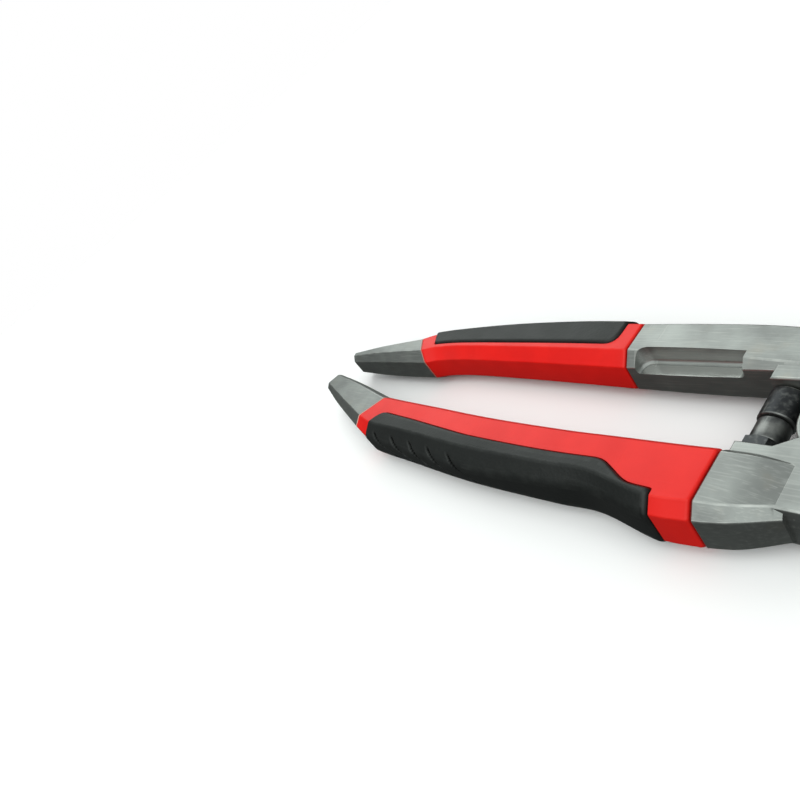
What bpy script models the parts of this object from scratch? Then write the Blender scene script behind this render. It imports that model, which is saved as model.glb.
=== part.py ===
"""Compact lever-action bolt cutters with bare reaming tips on the handle ends.

The tool lies flat: +X runs from the handle tips to the jaws, +Y to the upper handle, +Z up.
Every size is in millimetres and becomes metres when a mesh is made. The drafting plane puts the
handle pivot at the origin and the tool's mid-plane at z = 0; the bench's origin moves that to the
bottom centre of the whole tool. An arm is drafted once, with u as the distance outwards from the
tool's centre line, and side = -1 or +1 turns it into the lower or the upper arm.
"""

import math
from dataclasses import dataclass

import bmesh
import bpy
from mathutils import Vector

MM = 0.001

# ---- Overall lengths along X, measured from the handle pivot ----
TIP_TO_PIVOT = 190.0  # from the reaming tips to the handle pivot
NECK_LENGTH_LOWER = 48.6  # bare steel before the lower grip
NECK_LENGTH_UPPER = 47.5
GRIP_LENGTH_LOWER = 121.4  # hard shell on the lower handle
GRIP_LENGTH_UPPER = 87.5
BLADE_REACH = 27.5  # from the jaw bolt to the end of the cutting edge
NOSE_REACH = 1.6  # past the cutting edge's end
NOSE_WIDTH = 4.4  # of each jaw, at its blunt end
BEVEL_WIDTH = 3.8  # of the ground bevel above and below each cutting edge
BEVEL_BROW = 0.6  # how far the bevel's top stays below the blade's face
EDGE_LAND = 0.5  # half thickness of each cutting edge
BEVEL_SETBACK = 2.5  # from the jaw's boss to the start of its bevel
JAW_BACK = 12.7  # from the centre line to each jaw's back, beside its bolt

# ---- Linkage ----
HANDLE_ARM = 18.0  # handle pivot to toggle bolt
JAW_ARM = 34.0  # toggle bolt to jaw bolt
HANDLE_ARM_ANGLE = math.radians(55.0)  # of the handle arm, with the jaws closed

# ---- Thicknesses, as half heights about the mid-plane ----
GRIP_HALF = 7.1  # hard shell
NECK_HALF = 7.0  # bare steel beside the grip
NECK_MID_HALF = 6.4
HEAD_HALF = 5.2  # handle forging round its pivot
JAW_HALF = 4.6
TONGUE_HALF = 2.1  # the jaw's tail inside the handle's fork
TIP_HALF = 4.8

# ---- Fits ----
SEAM = 0.3  # between pieces that touch
SWING = 0.5  # round a boss that turns beside another piece
LAP_GAP = 0.15  # each lapped half stays this far from the mid-plane
EDGE_GAP = 0.15  # each cutting edge stays this far from the centre line

# ---- Grips ----
SHELL_WALL = 3.6
PAD_RECESS = 1.6  # how deep the soft pad sits in the shell
PAD_PROUD = 0.65  # how far it stands out of it
LEAST_CHAMFER = 0.5  # left on an outline inside the shell

# ---- Bosses, bores and fasteners, as radii ----
HANDLE_BOSS = 10.8
FORK_BOSS = 6.6
TONGUE_BOSS = 5.6
JAW_BOSS = 10.5
PIVOT_SHANK = 4.0
JAW_SHANK = 4.0
TOGGLE_SHANK = 2.75
PIVOT_HEAD = 7.4
JAW_HEAD = 6.8
TOGGLE_HEAD = 5.2
WASHER_RIM = 8.6
WASHER_THICK = 0.9
TOGGLE_HEAD_HEIGHT = 2.1
PIVOT_NUT_FLATS = 13.0
JAW_NUT_FLATS = 12.0
TOGGLE_NUT_FLATS = 9.0
SOCKET_DEPTH = 1.2
SOCKET_SHARE = 0.72  # of the shank's radius
HEAD_EDGE = 0.5  # chamfer round a bolt head

# ---- Stop between the handles ----
STOP_SHANK = 2.5
STOP_SETBACK = 16.6  # behind the handle pivot
STOP_FACE = 8.2  # distance of the forging's stop flat from the centre line
STOP_NUT_HEIGHT = 2.6
STOP_NUT_FLATS = 7.4
STOP_HEAD = 3.2
STOP_DEPTH = 8.0  # thread engagement in the forging
ANVIL_RADIUS = 3.6
ANVIL_STEM = 2.0
ANVIL_MEETS = 0.6  # the anvil's face stops this far on its own side of the centre line

# ---- Lap relief on the upper forging, just past its grip ----
RELIEF_START = 3.0  # ahead of the grip's end
RELIEF_LENGTH = 26.0
RELIEF_RIM = 8.0  # rim left on the outer side
RELIEF_CORNER = 3.0
RELIEF_FLOOR = 1.9

ROUND_STEPS = 32
CURVE_STEPS = 4  # loft rings between two drafting stations


@dataclass(frozen=True)
class Station:
    """A drafting station across an arm: where it lies in its zone and the flats' two edges."""

    share: float  # along the zone, 0 to 1
    skew: float  # how far the inner edge leads the outer one along X
    inner: float  # u of the top flat's inner edge
    outer: float  # u of the top flat's outer edge
    half: float
    inner_chamfer: float
    outer_chamfer: float


@dataclass(frozen=True)
class Arm:
    """One handle's drafting: three zones that share their end stations."""

    name: str
    side: int
    neck_length: float
    grip_length: float
    neck: tuple
    grip: tuple
    shoulder: tuple
    pad_shares: tuple  # where the pad starts and ends along the grip
    pad_split: tuple  # (share, distance of the pad's edge from the flat's inner edge)


LOWER = Arm(
    name="lower",
    side=-1,
    neck_length=NECK_LENGTH_LOWER,
    grip_length=GRIP_LENGTH_LOWER,
    neck=(
        Station(0.00, 2.0, 1.8, 6.6, TIP_HALF, 1.0, 1.6),
        Station(0.45, 4.5, 6.2, 13.0, NECK_MID_HALF, 1.2, 2.4),
        Station(1.00, 6.0, 11.9, 20.9, NECK_HALF, 1.5, 2.9),
    ),
    grip=(
        Station(0.00, 6.0, 11.9, 20.9, GRIP_HALF, 1.5, 2.9),
        Station(0.075, 6.0, 12.3, 22.6, GRIP_HALF, 1.5, 3.5),
        Station(0.24, 3.0, 12.9, 23.0, GRIP_HALF, 1.5, 4.3),
        Station(0.47, 1.0, 13.8, 23.9, GRIP_HALF, 1.5, 4.2),
        Station(0.70, 0.0, 13.8, 23.4, GRIP_HALF, 1.5, 3.2),
        Station(0.80, 0.0, 13.4, 22.8, GRIP_HALF, 1.5, 2.8),
        Station(0.93, 0.0, 12.9, 25.4, GRIP_HALF, 1.5, 2.8),
        Station(1.00, 0.0, 12.5, 24.6, GRIP_HALF, 1.5, 2.8),
    ),
    shoulder=(
        Station(0.00, 0.0, 12.5, 24.6, NECK_HALF, 1.5, 2.8),
        Station(0.45, 0.0, 12.0, 23.4, 6.4, 1.4, 2.4),
        Station(1.00, 0.0, 11.8, 20.4, HEAD_HALF - 0.2, 1.2, 1.8),
    ),
    pad_shares=(0.075, 0.935),
    pad_split=((0.0, 5.2), (0.2, 5.6), (0.45, 6.5), (0.65, 6.4), (0.82, 6.0), (0.885, 10.8), (1.0, 11.4)),
)

UPPER = Arm(
    name="upper",
    side=1,
    neck_length=NECK_LENGTH_UPPER,
    grip_length=GRIP_LENGTH_UPPER,
    neck=(
        Station(0.00, 0.6, 9.2, 10.9, TIP_HALF, 1.8, 1.4),
        Station(0.45, 2.0, 10.2, 13.6, NECK_MID_HALF, 2.6, 2.2),
        Station(1.00, 4.6, 11.6, 17.3, NECK_HALF, 3.2, 3.0),
    ),
    grip=(
        Station(0.00, 4.6, 11.6, 17.3, GRIP_HALF, 3.2, 3.0),
        Station(0.08, 4.0, 13.2, 19.7, GRIP_HALF, 3.3, 3.4),
        Station(0.23, 3.5, 14.2, 21.4, GRIP_HALF, 3.3, 3.6),
        Station(0.50, 2.5, 14.3, 23.1, GRIP_HALF, 3.3, 3.6),
        Station(0.76, 0.0, 14.1, 23.5, GRIP_HALF, 3.3, 3.6),
        Station(1.00, 0.0, 13.7, 22.8, GRIP_HALF, 3.3, 3.4),
    ),
    shoulder=(
        Station(0.00, 0.0, 13.7, 22.8, NECK_HALF, 3.3, 3.4),
        Station(0.35, 0.0, 13.3, 22.6, 6.8, 2.8, 3.0),
        Station(0.70, 0.0, 12.6, 22.4, 5.9, 1.6, 2.6),
        Station(1.00, 0.0, 11.8, 20.4, HEAD_HALF - 0.2, 1.2, 1.8),
    ),
    pad_shares=(0.075, 0.95),
    pad_split=((0.0, 1.5), (0.3, 1.5), (1.0, 1.9)),
)
SHOULDER_END = -6.0  # the shoulder runs into the head plate here

# ---- What follows from the sizes above ----
TOGGLE_AHEAD = HANDLE_ARM * math.cos(HANDLE_ARM_ANGLE)
TOGGLE_OUT = HANDLE_ARM * math.sin(HANDLE_ARM_ANGLE)
JAW_ARM_ANGLE = math.asin(TOGGLE_OUT / JAW_ARM)
JAW_BOLT_AHEAD = TOGGLE_AHEAD + JAW_ARM * math.cos(JAW_ARM_ANGLE)
REST_LEVEL = GRIP_HALF + PAD_PROUD  # the tool rests on its pads and on the bolts' ends


def blend_stations(stations, places, at):
    """The station values at a place along an arm, on a smooth curve through all the stations."""
    last = len(places) - 1
    index = 0
    while index < last - 1 and at > places[index + 1]:
        index += 1
    around = [min(max(index + step, 0), last) for step in (-1, 0, 1, 2)]
    start, end = places[around[1]], places[around[2]]
    t = (at - start) / (end - start)

    def value(field):
        values = [getattr(stations[i], field) for i in around]
        slopes = []
        for before, here, after in ((0, 1, 2), (1, 2, 3)):
            run = places[around[after]] - places[around[before]]
            slopes.append((values[after] - values[before]) / run * (end - start))
        return (
            (2 * t**3 - 3 * t**2 + 1) * values[1]
            + (t**3 - 2 * t**2 + t) * slopes[0]
            + (3 * t**2 - 2 * t**3) * values[2]
            + (t**3 - t**2) * slopes[1]
        )

    return Station(
        0.0, *(value(f) for f in ("skew", "inner", "outer", "half", "inner_chamfer", "outer_chamfer"))
    )


def linear(table, at):
    """The value at a share of a table of (share, value) rows."""
    for (s0, v0), (s1, v1) in zip(table, table[1:]):
        if at <= s1:
            return v0 + (v1 - v0) * (at - s0) / (s1 - s0)
    return table[-1][1]


def offset_outline(points, distance):
    """A closed outline, drawn anticlockwise, moved outwards by a distance with mitred corners."""
    moved = []
    count = len(points)
    for i in range(count):
        before, here, after = (Vector(points[j % count]) for j in (i - 1, i, i + 1))
        d0, d1 = (here - before).normalized(), (after - here).normalized()
        n0, n1 = Vector((d0.y, -d0.x)), Vector((d1.y, -d1.x))
        mitre = (n0 + n1) / (1.0 + n0.dot(n1))
        moved.append(tuple(here + mitre * distance))
    return moved


class ArmSections:
    """Octagon sections across one arm, at any place along it."""

    def __init__(self, arm):
        self.arm = arm
        self.tip = -TIP_TO_PIVOT
        self.grip_start = self.tip + arm.neck_length
        self.grip_end = self.grip_start + arm.grip_length
        self.zones = {
            "neck": (self.tip, self.grip_start, arm.neck),
            "grip": (self.grip_start, self.grip_end, arm.grip),
            "shoulder": (self.grip_end, SHOULDER_END, arm.shoulder),
        }

    def station(self, zone, x):
        start, end, stations = self.zones[zone]
        places = [start + s.share * (end - start) for s in stations]
        return blend_stations(stations, places, x)

    def places(self, zone, first=0.0, last=1.0):
        """X of each loft ring in a zone, from one share of it to another."""
        start, end, stations = self.zones[zone]
        shares = [s.share for s in stations]
        fine = set()
        for low, high in zip(shares, shares[1:]):
            fine |= {low + (high - low) * k / CURVE_STEPS for k in range(CURVE_STEPS + 1)}
        kept = sorted({first, last} | {s for s in fine if first + 0.004 < s < last - 0.004})
        return [start + s * (end - start) for s in kept]

    @staticmethod
    def octagon(station, grow):
        """Outline in (w, z), w outwards from the flat's inner edge, grown by a distance.

        An outline that shrinks a lot starts from wider chamfers, so that none of them turns over.
        """
        width, half = station.outer - station.inner, station.half
        least = LEAST_CHAMFER - grow * (2.0 - math.sqrt(2.0))
        near, far = max(station.inner_chamfer, least), max(station.outer_chamfer, least)
        outline = [
            (-near, half - near),
            (-near, near - half),
            (0.0, -half),
            (width, -half),
            (width + far, far - half),
            (width + far, half - far),
            (width, half),
            (0.0, half),
        ]
        return offset_outline(outline, grow)

    def place(self, station, x, outline):
        """Turns an outline in (w, z) at a place along the arm into points in the drafting frame."""
        side = self.arm.side
        inner = Vector((x + station.skew / 2, station.inner * side, 0.0))
        outer = Vector((x - station.skew / 2, station.outer * side, 0.0))
        across = (outer - inner) / (station.outer - station.inner)
        return [inner + across * w + Vector((0.0, 0.0, z)) for w, z in outline]

    def ring(self, zone, x, grow=0.0):
        station = self.station(zone, x)
        return self.place(station, x, self.octagon(station, grow))

    def pad_ring(self, x, inside, outside, clearance=0.0):
        """A C-shaped outline round the arm's outer side, between two offsets of its octagon."""
        station = self.station("grip", x)
        share = (x - self.grip_start) / self.arm.grip_length
        edge = linear(self.arm.pad_split, share) - clearance
        outer, inner = self.octagon(station, outside), self.octagon(station, inside)
        outline = [(edge, outer[3][1]), *outer[3:7], (edge, outer[6][1])]
        outline += [(edge, inner[6][1]), *reversed(inner[3:7]), (edge, inner[3][1])]
        return self.place(station, x, outline)


# ---- Mesh makers: each returns a bmesh in the drafting frame, in millimetres ----


def loft(rings):
    """A closed solid through a list of rings with the same number of points."""
    bm = bmesh.new()
    made = [[bm.verts.new(p) for p in ring] for ring in rings]
    for before, after in zip(made, made[1:]):
        count = len(before)
        for i in range(count):
            j = (i + 1) % count
            bm.faces.new((before[i], before[j], after[j], after[i]))
    bm.faces.new(made[0])
    bm.faces.new(made[-1])
    bmesh.ops.recalc_face_normals(bm, faces=bm.faces)
    return bm


def sleeve(outer_rings, inner_rings):
    """A tube between two lofts with the same rings, open at both ends."""
    bm = bmesh.new()
    outer = [[bm.verts.new(p) for p in ring] for ring in outer_rings]
    inner = [[bm.verts.new(p) for p in ring] for ring in inner_rings]
    count = len(outer[0])
    for skin in (outer, inner):
        for before, after in zip(skin, skin[1:]):
            for i in range(count):
                j = (i + 1) % count
                bm.faces.new((before[i], before[j], after[j], after[i]))
    for end in (0, -1):
        for i in range(count):
            j = (i + 1) % count
            bm.faces.new((outer[end][i], outer[end][j], inner[end][j], inner[end][i]))
    bmesh.ops.recalc_face_normals(bm, faces=bm.faces)
    return bm


def slab(outline, low, high):
    """A plate: an outline in (x, y) between two heights."""
    return loft([[(x, y, z) for x, y in outline] for z in (low, high)])


def arc(centre, radius, start, end, steps=ROUND_STEPS):
    """Points of an arc in degrees, both ends included."""
    count = max(2, math.ceil(abs(end - start) / 360.0 * steps))
    turns = (math.radians(start + (end - start) * k / count) for k in range(count + 1))
    return [(centre[0] + radius * math.cos(a), centre[1] + radius * math.sin(a)) for a in turns]


def disc(centre, radius, low, high, steps=ROUND_STEPS):
    """A round slab, with a drafted facet count."""
    return slab(arc(centre, radius, 0.0, 360.0 * (steps - 1) / steps, steps), low, high)


def turned(profile, centre, steps=ROUND_STEPS, upright=True):
    """A solid of revolution from (radius, height) rows; upright turns it round Z, or else round Y."""
    rings = []
    for radius, height in profile:
        ring = []
        for k in range(steps):
            turn = 2 * math.pi * k / steps
            flat = (radius * math.cos(turn), radius * math.sin(turn))
            offset = (*flat, height) if upright else (flat[0], height, flat[1])
            ring.append(Vector(centre) + Vector(offset))
        rings.append(ring)
    return loft(rings)


def mirrored(outline, side):
    """An outline in (x, u) as (x, y) on one side of the centre line."""
    return [(x, u * side) for x, u in outline]


# ---- Scene building ----


def finish(name, colour, metallic, roughness):
    """A plain Principled finish."""
    material = bpy.data.materials.new(name)
    material.use_nodes = True
    shader = material.node_tree.nodes["Principled BSDF"]
    shader.inputs["Base Color"].default_value = (*colour, 1.0)
    shader.inputs["Metallic"].default_value = metallic
    shader.inputs["Roughness"].default_value = roughness
    return material


class Bench:
    """Holds the bodies' axis empties and turns drafted meshes into objects on them."""

    def __init__(self, origin):
        self.origin = Vector(origin)
        self.bodies = {}

    def add_body(self, name, axis_point):
        empty = bpy.data.objects.new(name, None)
        empty.location = (Vector(axis_point) + self.origin) * MM
        bpy.context.scene.collection.objects.link(empty)
        self.bodies[name] = (empty, Vector(axis_point))

    def add(self, name, bm, body, material=None, smooth=False):
        empty, axis_point = self.bodies[body]
        for vert in bm.verts:
            vert.co = (vert.co - axis_point) * MM
        mesh = bpy.data.meshes.new(name)
        bm.to_mesh(mesh)
        bm.free()
        made = bpy.data.objects.new(name, mesh)
        made.parent = empty
        bpy.context.scene.collection.objects.link(made)
        if material:
            mesh.materials.append(material)
        if smooth:
            mesh.shade_smooth()
            mesh.set_sharp_from_angle(angle=math.radians(30.0))
        return made

    def combine(self, target, bm, body, operation="DIFFERENCE"):
        """Cuts a helper solid from the target, or joins it to the target."""
        label = f"{target.name}_{operation.lower()}_{len(target.modifiers)}"
        helper = self.add(label, bm, body)
        helper.hide_render = True
        helper.display_type = "WIRE"
        modifier = target.modifiers.new(label, "BOOLEAN")
        modifier.operation = operation
        modifier.object = helper


# ---- Sub-parts ----


def handle_forging(bench, sections, body, steel):
    """Bare reaming tip, slim tang under the grip, shoulder, pivot ear and toggle fork."""
    side = sections.arm.side
    tang = -(SHELL_WALL + SEAM)
    rings = [sections.ring("neck", x) for x in sections.places("neck")[:-1]]
    neck_end, neck_stop = sections.zones["neck"][1], sections.grip_start - SEAM
    rings.append(sections.ring("neck", neck_stop))
    rings.append(sections.ring("grip", neck_end, tang))
    rings += [sections.ring("grip", x, tang) for x in sections.places("grip")[1:-1]]
    shoulder_start = sections.grip_end + SEAM
    rings.append(sections.ring("shoulder", shoulder_start, tang))
    rings.append(sections.ring("shoulder", shoulder_start))
    rings += [sections.ring("shoulder", x) for x in sections.places("shoulder")[1:]]
    forging = bench.add(f"{sections.arm.name}_handle_forging", loft(rings), body, steel)

    toggle = (TOGGLE_AHEAD, TOGGLE_OUT)
    plate_back = -STOP_SETBACK - STOP_NUT_FLATS / 2 + 2 * SWING
    plate_back = max(plate_back, sections.grip_end + 2 * SEAM)
    back_edge = TOGGLE_OUT + FORK_BOSS
    outline = [(plate_back, STOP_FACE), (plate_back, back_edge - 1.0), (plate_back + 4.0, back_edge)]
    outline += arc(toggle, FORK_BOSS, 82.0, -40.0)
    outline += arc((0.0, 0.0), HANDLE_BOSS, 26.0, -212.0)
    outline += [(-STOP_SETBACK + STOP_NUT_FLATS / 2 + SWING, STOP_FACE)]
    plate = slab(mirrored(outline, side), -HEAD_HALF, HEAD_HALF)
    bench.combine(forging, plate, body, "UNION")

    lap = sorted((-side * LAP_GAP, side * 2 * GRIP_HALF))
    bench.combine(forging, disc((0.0, 0.0), HANDLE_BOSS + SWING, *lap), body)
    bench.combine(forging, fork_slot(side), body)
    through = (-2 * GRIP_HALF, 2 * GRIP_HALF)
    bench.combine(forging, disc((0.0, 0.0), PIVOT_SHANK + SEAM, *through), body)
    bolt = (toggle[0], toggle[1] * side)
    bench.combine(forging, disc(bolt, TOGGLE_SHANK + SEAM, *through, 24), body)
    return forging


def fork_slot(side):
    """The slot in a handle's fork, as wide as the jaw's tail sweeps from closed to open."""
    toggle = Vector((TOGGLE_AHEAD, TOGGLE_OUT))
    radius = TONGUE_BOSS + 2 * SWING - SEAM / 2
    closed, opened = -math.degrees(JAW_ARM_ANGLE), 5.0
    outline = arc(toggle, radius, opened + 90.0, closed + 270.0)
    for turn, across in ((closed, -90.0), (opened, 90.0)):
        along = Vector((math.cos(math.radians(turn)), math.sin(math.radians(turn))))
        sideways = math.radians(turn + across)
        edge = toggle + radius * Vector((math.cos(sideways), math.sin(sideways)))
        outline.append(tuple(edge + along * JAW_ARM / 2))
    half = TONGUE_HALF + SEAM
    return slab(mirrored(outline, side), -half, half)


def lap_relief(bench, forging, sections, body):
    """The half-lap relief on the upper forging's inner side, with a rim along its outer side."""
    start = sections.grip_end + RELIEF_START
    end = start + RELIEF_LENGTH
    rim = sections.station("shoulder", start).outer - RELIEF_RIM
    clear = rim - 2 * GRIP_HALF
    corner = (start + RELIEF_CORNER, rim - RELIEF_CORNER)
    outline = [(start, clear), *arc(corner, RELIEF_CORNER, 180.0, 90.0), (end, rim), (end, clear)]
    relief = slab(mirrored(outline, sections.arm.side), RELIEF_FLOOR, 2 * GRIP_HALF)
    bench.combine(forging, relief, body)


def grip(bench, sections, body, shell_finish, pad_finish):
    """A hard shell round the tang, and a soft pad let into its outer side."""
    arm = sections.arm
    places = sections.places("grip")
    outer = [sections.ring("grip", x) for x in places]
    inner = [sections.ring("grip", x, -SHELL_WALL) for x in places]
    shell = bench.add(f"{arm.name}_grip_shell", sleeve(outer, inner), body, shell_finish)

    first, last = arm.pad_shares
    margin = SEAM / arm.grip_length
    recess = sections.places("grip", first - margin, last + margin)
    rings = [sections.pad_ring(x, -PAD_RECESS, 4 * PAD_RECESS, SEAM) for x in recess]
    bench.combine(shell, loft(rings), body)
    pad_places = sections.places("grip", first, last)
    rings = [sections.pad_ring(x, SEAM - PAD_RECESS, PAD_PROUD) for x in pad_places]
    bench.add(f"{arm.name}_grip_pad", loft(rings), body, pad_finish)


def jaw(bench, side, body, steel):
    """A cutting jaw: blade ahead of the lapped boss, and a tail that ends in a thin tongue."""
    bolt_x = JAW_BOLT_AHEAD
    toggle = (TOGGLE_AHEAD, TOGGLE_OUT)
    tip = bolt_x + BLADE_REACH
    outline = [
        (tip, EDGE_GAP),
        (tip + NOSE_REACH, EDGE_GAP + 1.8),
        (tip + NOSE_REACH - 0.6, NOSE_WIDTH),
        (tip - 6.0, (NOSE_WIDTH + JAW_BACK) / 2 + 0.4),
        (bolt_x + 8.0, JAW_BACK),
        (bolt_x - 3.0, JAW_BACK),
        (bolt_x - 12.0, JAW_BACK + 2.4),
    ]
    outline += arc(toggle, TONGUE_BOSS, 80.0, 270.0)
    outline += [(bolt_x - 18.0, 6.8)]
    outline += arc((bolt_x, 0.0), JAW_BOSS, 155.0, 362.0)
    made = bench.add(
        f"{body}_blade", slab(mirrored(outline, side), -JAW_HALF, JAW_HALF), body, steel
    )
    lap = sorted((-side * LAP_GAP, side * 2 * JAW_HALF))
    bench.combine(made, disc((bolt_x, 0.0), JAW_BOSS + SWING, *lap), body)
    eye = (toggle[0], toggle[1] * side)
    for low, high in ((TONGUE_HALF, 2 * JAW_HALF), (-2 * JAW_HALF, -TONGUE_HALF)):
        bench.combine(made, disc(eye, FORK_BOSS + SWING, low, high), body)
    through = (-2 * JAW_HALF, 2 * JAW_HALF)
    bench.combine(made, disc((bolt_x, 0.0), JAW_SHANK + SEAM, *through), body)
    bench.combine(made, disc(eye, TOGGLE_SHANK + SEAM, *through, 24), body)
    for facing in (-1, 1):
        bench.combine(made, edge_bevel(side, facing), body)
    return made


def edge_bevel(side, facing):
    """The wedge that leaves a cutting edge along a blade's inner side, above or below."""
    start = JAW_BOLT_AHEAD + JAW_BOSS + BEVEL_SETBACK
    end = JAW_BOLT_AHEAD + BLADE_REACH + 2 * NOSE_REACH
    above = 2 * JAW_HALF
    foot, brow = (EDGE_GAP, EDGE_LAND), (BEVEL_WIDTH, JAW_HALF - BEVEL_BROW)
    section = ((-1.0, EDGE_LAND / 4), foot, brow, (BEVEL_WIDTH + above / 4, above), (-1.0, above))
    return loft([[(x, u * side, z * facing) for u, z in section] for x in (start, end)])


@dataclass(frozen=True)
class Fastener:
    """A bolt with a low round head, and its nut."""

    shank: float
    head: float
    head_height: float
    nut_flats: float


def bolt_and_nut(bench, name, centre, seat, size, body, steel):
    """A bolt with a hexagon socket, its head above one seat, and a thin nut below the other.

    The nut and the shank's end reach down to the plane that the tool rests on.
    """
    top = seat + SEAM + size.head_height
    profile = [
        (size.shank, -REST_LEVEL),
        (size.shank, seat + SEAM),
        (size.head, seat + SEAM),
        (size.head, top - HEAD_EDGE),
        (size.head - HEAD_EDGE, top),
    ]
    bolt = bench.add(f"{name}_bolt", turned(profile, (*centre, 0.0)), body, steel, smooth=True)
    socket = arc(centre, size.shank * SOCKET_SHARE, 0.0, 300.0, 6)
    bench.combine(bolt, slab(socket, top - SOCKET_DEPTH, top + 1.0), body)

    low, high = -REST_LEVEL, -seat - SEAM
    hexagon = arc(centre, size.nut_flats / math.sqrt(3.0), 0.0, 300.0, 6)
    nut = bench.add(f"{name}_nut", slab(hexagon, low, high), body, steel)
    bench.combine(nut, disc(centre, size.shank + SEAM, low - 1.0, high + 1.0, 24), body)


def washer(bench, name, centre, low, bore, body, steel):
    """A flat washer."""
    ring = bench.add(name, disc(centre, WASHER_RIM, low, low + WASHER_THICK), body, steel, smooth=True)
    bench.combine(ring, disc(centre, bore, low - 1.0, low + WASHER_THICK + 1.0), body)


def stop(bench, lower_forging, upper_forging, steel):
    """The adjustable stop screw and its lock nut on the lower handle, and the anvil it meets."""
    x = -STOP_SETBACK
    nut_face = STOP_FACE - SEAM - STOP_NUT_HEIGHT
    head_face = nut_face - SEAM
    tip_face = SEAM - ANVIL_MEETS
    deep = STOP_FACE + STOP_DEPTH
    profile = [
        (STOP_SHANK, -deep),
        (STOP_SHANK, -head_face),
        (STOP_HEAD, -head_face),
        (STOP_HEAD, -tip_face - HEAD_EDGE),
        (STOP_HEAD - HEAD_EDGE, -tip_face),
    ]
    bench.add("stop_screw", turned(profile, (x, 0.0, 0.0), 24, False), "lower_handle", steel, True)
    bore = [(STOP_SHANK + SEAM, -deep - SEAM), (STOP_SHANK + SEAM, 0.0)]
    bench.combine(lower_forging, turned(bore, (x, 0.0, 0.0), 24, False), "lower_handle")

    corner = STOP_NUT_FLATS / math.sqrt(3.0)
    hexagon = arc((x, 0.0), corner, 30.0, 330.0, 6)
    faces = (SEAM - STOP_FACE, -nut_face)
    prism = loft([[(a, y, b) for a, b in hexagon] for y in faces])
    nut = bench.add("stop_lock_nut", prism, "lower_handle", steel)
    bore = [(STOP_SHANK + SEAM, -STOP_FACE - 1.0), (STOP_SHANK + SEAM, 0.0)]
    bench.combine(nut, turned(bore, (x, 0.0, 0.0), 24, False), "lower_handle")

    profile = [
        (ANVIL_RADIUS - HEAD_EDGE, ANVIL_MEETS),
        (ANVIL_RADIUS, ANVIL_MEETS + HEAD_EDGE),
        (ANVIL_RADIUS, STOP_FACE - SEAM),
        (ANVIL_STEM, STOP_FACE - SEAM),
        (ANVIL_STEM, deep),
    ]
    bench.add("stop_anvil", turned(profile, (x, 0.0, 0.0), 24, False), "upper_handle", steel, True)
    bore = [(ANVIL_STEM + SEAM, 0.0), (ANVIL_STEM + SEAM, deep + SEAM)]
    bench.combine(upper_forging, turned(bore, (x, 0.0, 0.0), 24, False), "upper_handle")


def widest(sections):
    """How far a grip's pad reaches from the centre line."""
    arm = sections.arm
    places = sections.places("grip", *arm.pad_shares)
    return max(abs(p.y) for x in places for p in sections.pad_ring(x, 0.0, PAD_PROUD))


def build():
    for old in list(bpy.data.objects):
        bpy.data.objects.remove(old, do_unlink=True)

    lower, upper = ArmSections(LOWER), ArmSections(UPPER)
    tips = min(p.x for part in (lower, upper) for p in part.ring("neck", part.tip))
    nose = JAW_BOLT_AHEAD + BLADE_REACH + NOSE_REACH
    origin = (-(tips + nose) / 2, (widest(lower) - widest(upper)) / 2, REST_LEVEL)
    bench = Bench(origin)
    bench.add_body("lower_handle", (0.0, 0.0, 0.0))
    bench.add_body("upper_handle", (0.0, 0.0, 0.0))
    bench.add_body("lower_jaw", (TOGGLE_AHEAD, -TOGGLE_OUT, 0.0))
    bench.add_body("upper_jaw", (JAW_BOLT_AHEAD, 0.0, 0.0))

    forged = finish("satin_forged_steel", (0.16, 0.16, 0.155), 1.0, 0.42)
    ground = finish("ground_tool_steel", (0.34, 0.34, 0.33), 1.0, 0.30)
    plated = finish("black_oxide_fastener", (0.06, 0.06, 0.06), 1.0, 0.40)
    red = finish("red_hard_shell", (0.80, 0.012, 0.010), 0.0, 0.38)
    black = finish("black_soft_pad", (0.018, 0.020, 0.020), 0.0, 0.62)

    lower_forging = handle_forging(bench, lower, "lower_handle", forged)
    upper_forging = handle_forging(bench, upper, "upper_handle", forged)
    lap_relief(bench, upper_forging, upper, "upper_handle")
    grip(bench, lower, "lower_handle", red, black)
    grip(bench, upper, "upper_handle", red, black)
    jaw(bench, -1, "lower_jaw", ground)
    jaw(bench, 1, "upper_jaw", ground)

    lower_body, upper_body, jaw_body = "lower_handle", "upper_handle", "lower_jaw"
    head = Fastener(PIVOT_SHANK, PIVOT_HEAD, REST_LEVEL - HEAD_HALF - SEAM, PIVOT_NUT_FLATS)
    bolt_and_nut(bench, "handle_pivot", (0.0, 0.0), HEAD_HALF, head, lower_body, plated)
    head = Fastener(TOGGLE_SHANK, TOGGLE_HEAD, TOGGLE_HEAD_HEIGHT, TOGGLE_NUT_FLATS)
    for side, body in ((-1, lower_body), (1, upper_body)):
        name = body.replace("handle", "toggle")
        centre = (TOGGLE_AHEAD, TOGGLE_OUT * side)
        bolt_and_nut(bench, name, centre, HEAD_HALF, head, body, plated)

    centre = (JAW_BOLT_AHEAD, 0.0)
    seat = JAW_HALF + SEAM + WASHER_THICK
    head = Fastener(JAW_SHANK, JAW_HEAD, REST_LEVEL - seat - SEAM, JAW_NUT_FLATS)
    bolt_and_nut(bench, "jaw", centre, seat, head, jaw_body, plated)
    for name, low in (("top", JAW_HALF + SEAM), ("bottom", -JAW_HALF - SEAM - WASHER_THICK)):
        washer(bench, f"jaw_washer_{name}", centre, low, JAW_SHANK + SEAM, jaw_body, ground)
    stop(bench, lower_forging, upper_forging, plated)
    bpy.context.view_layer.update()


build()
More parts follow.
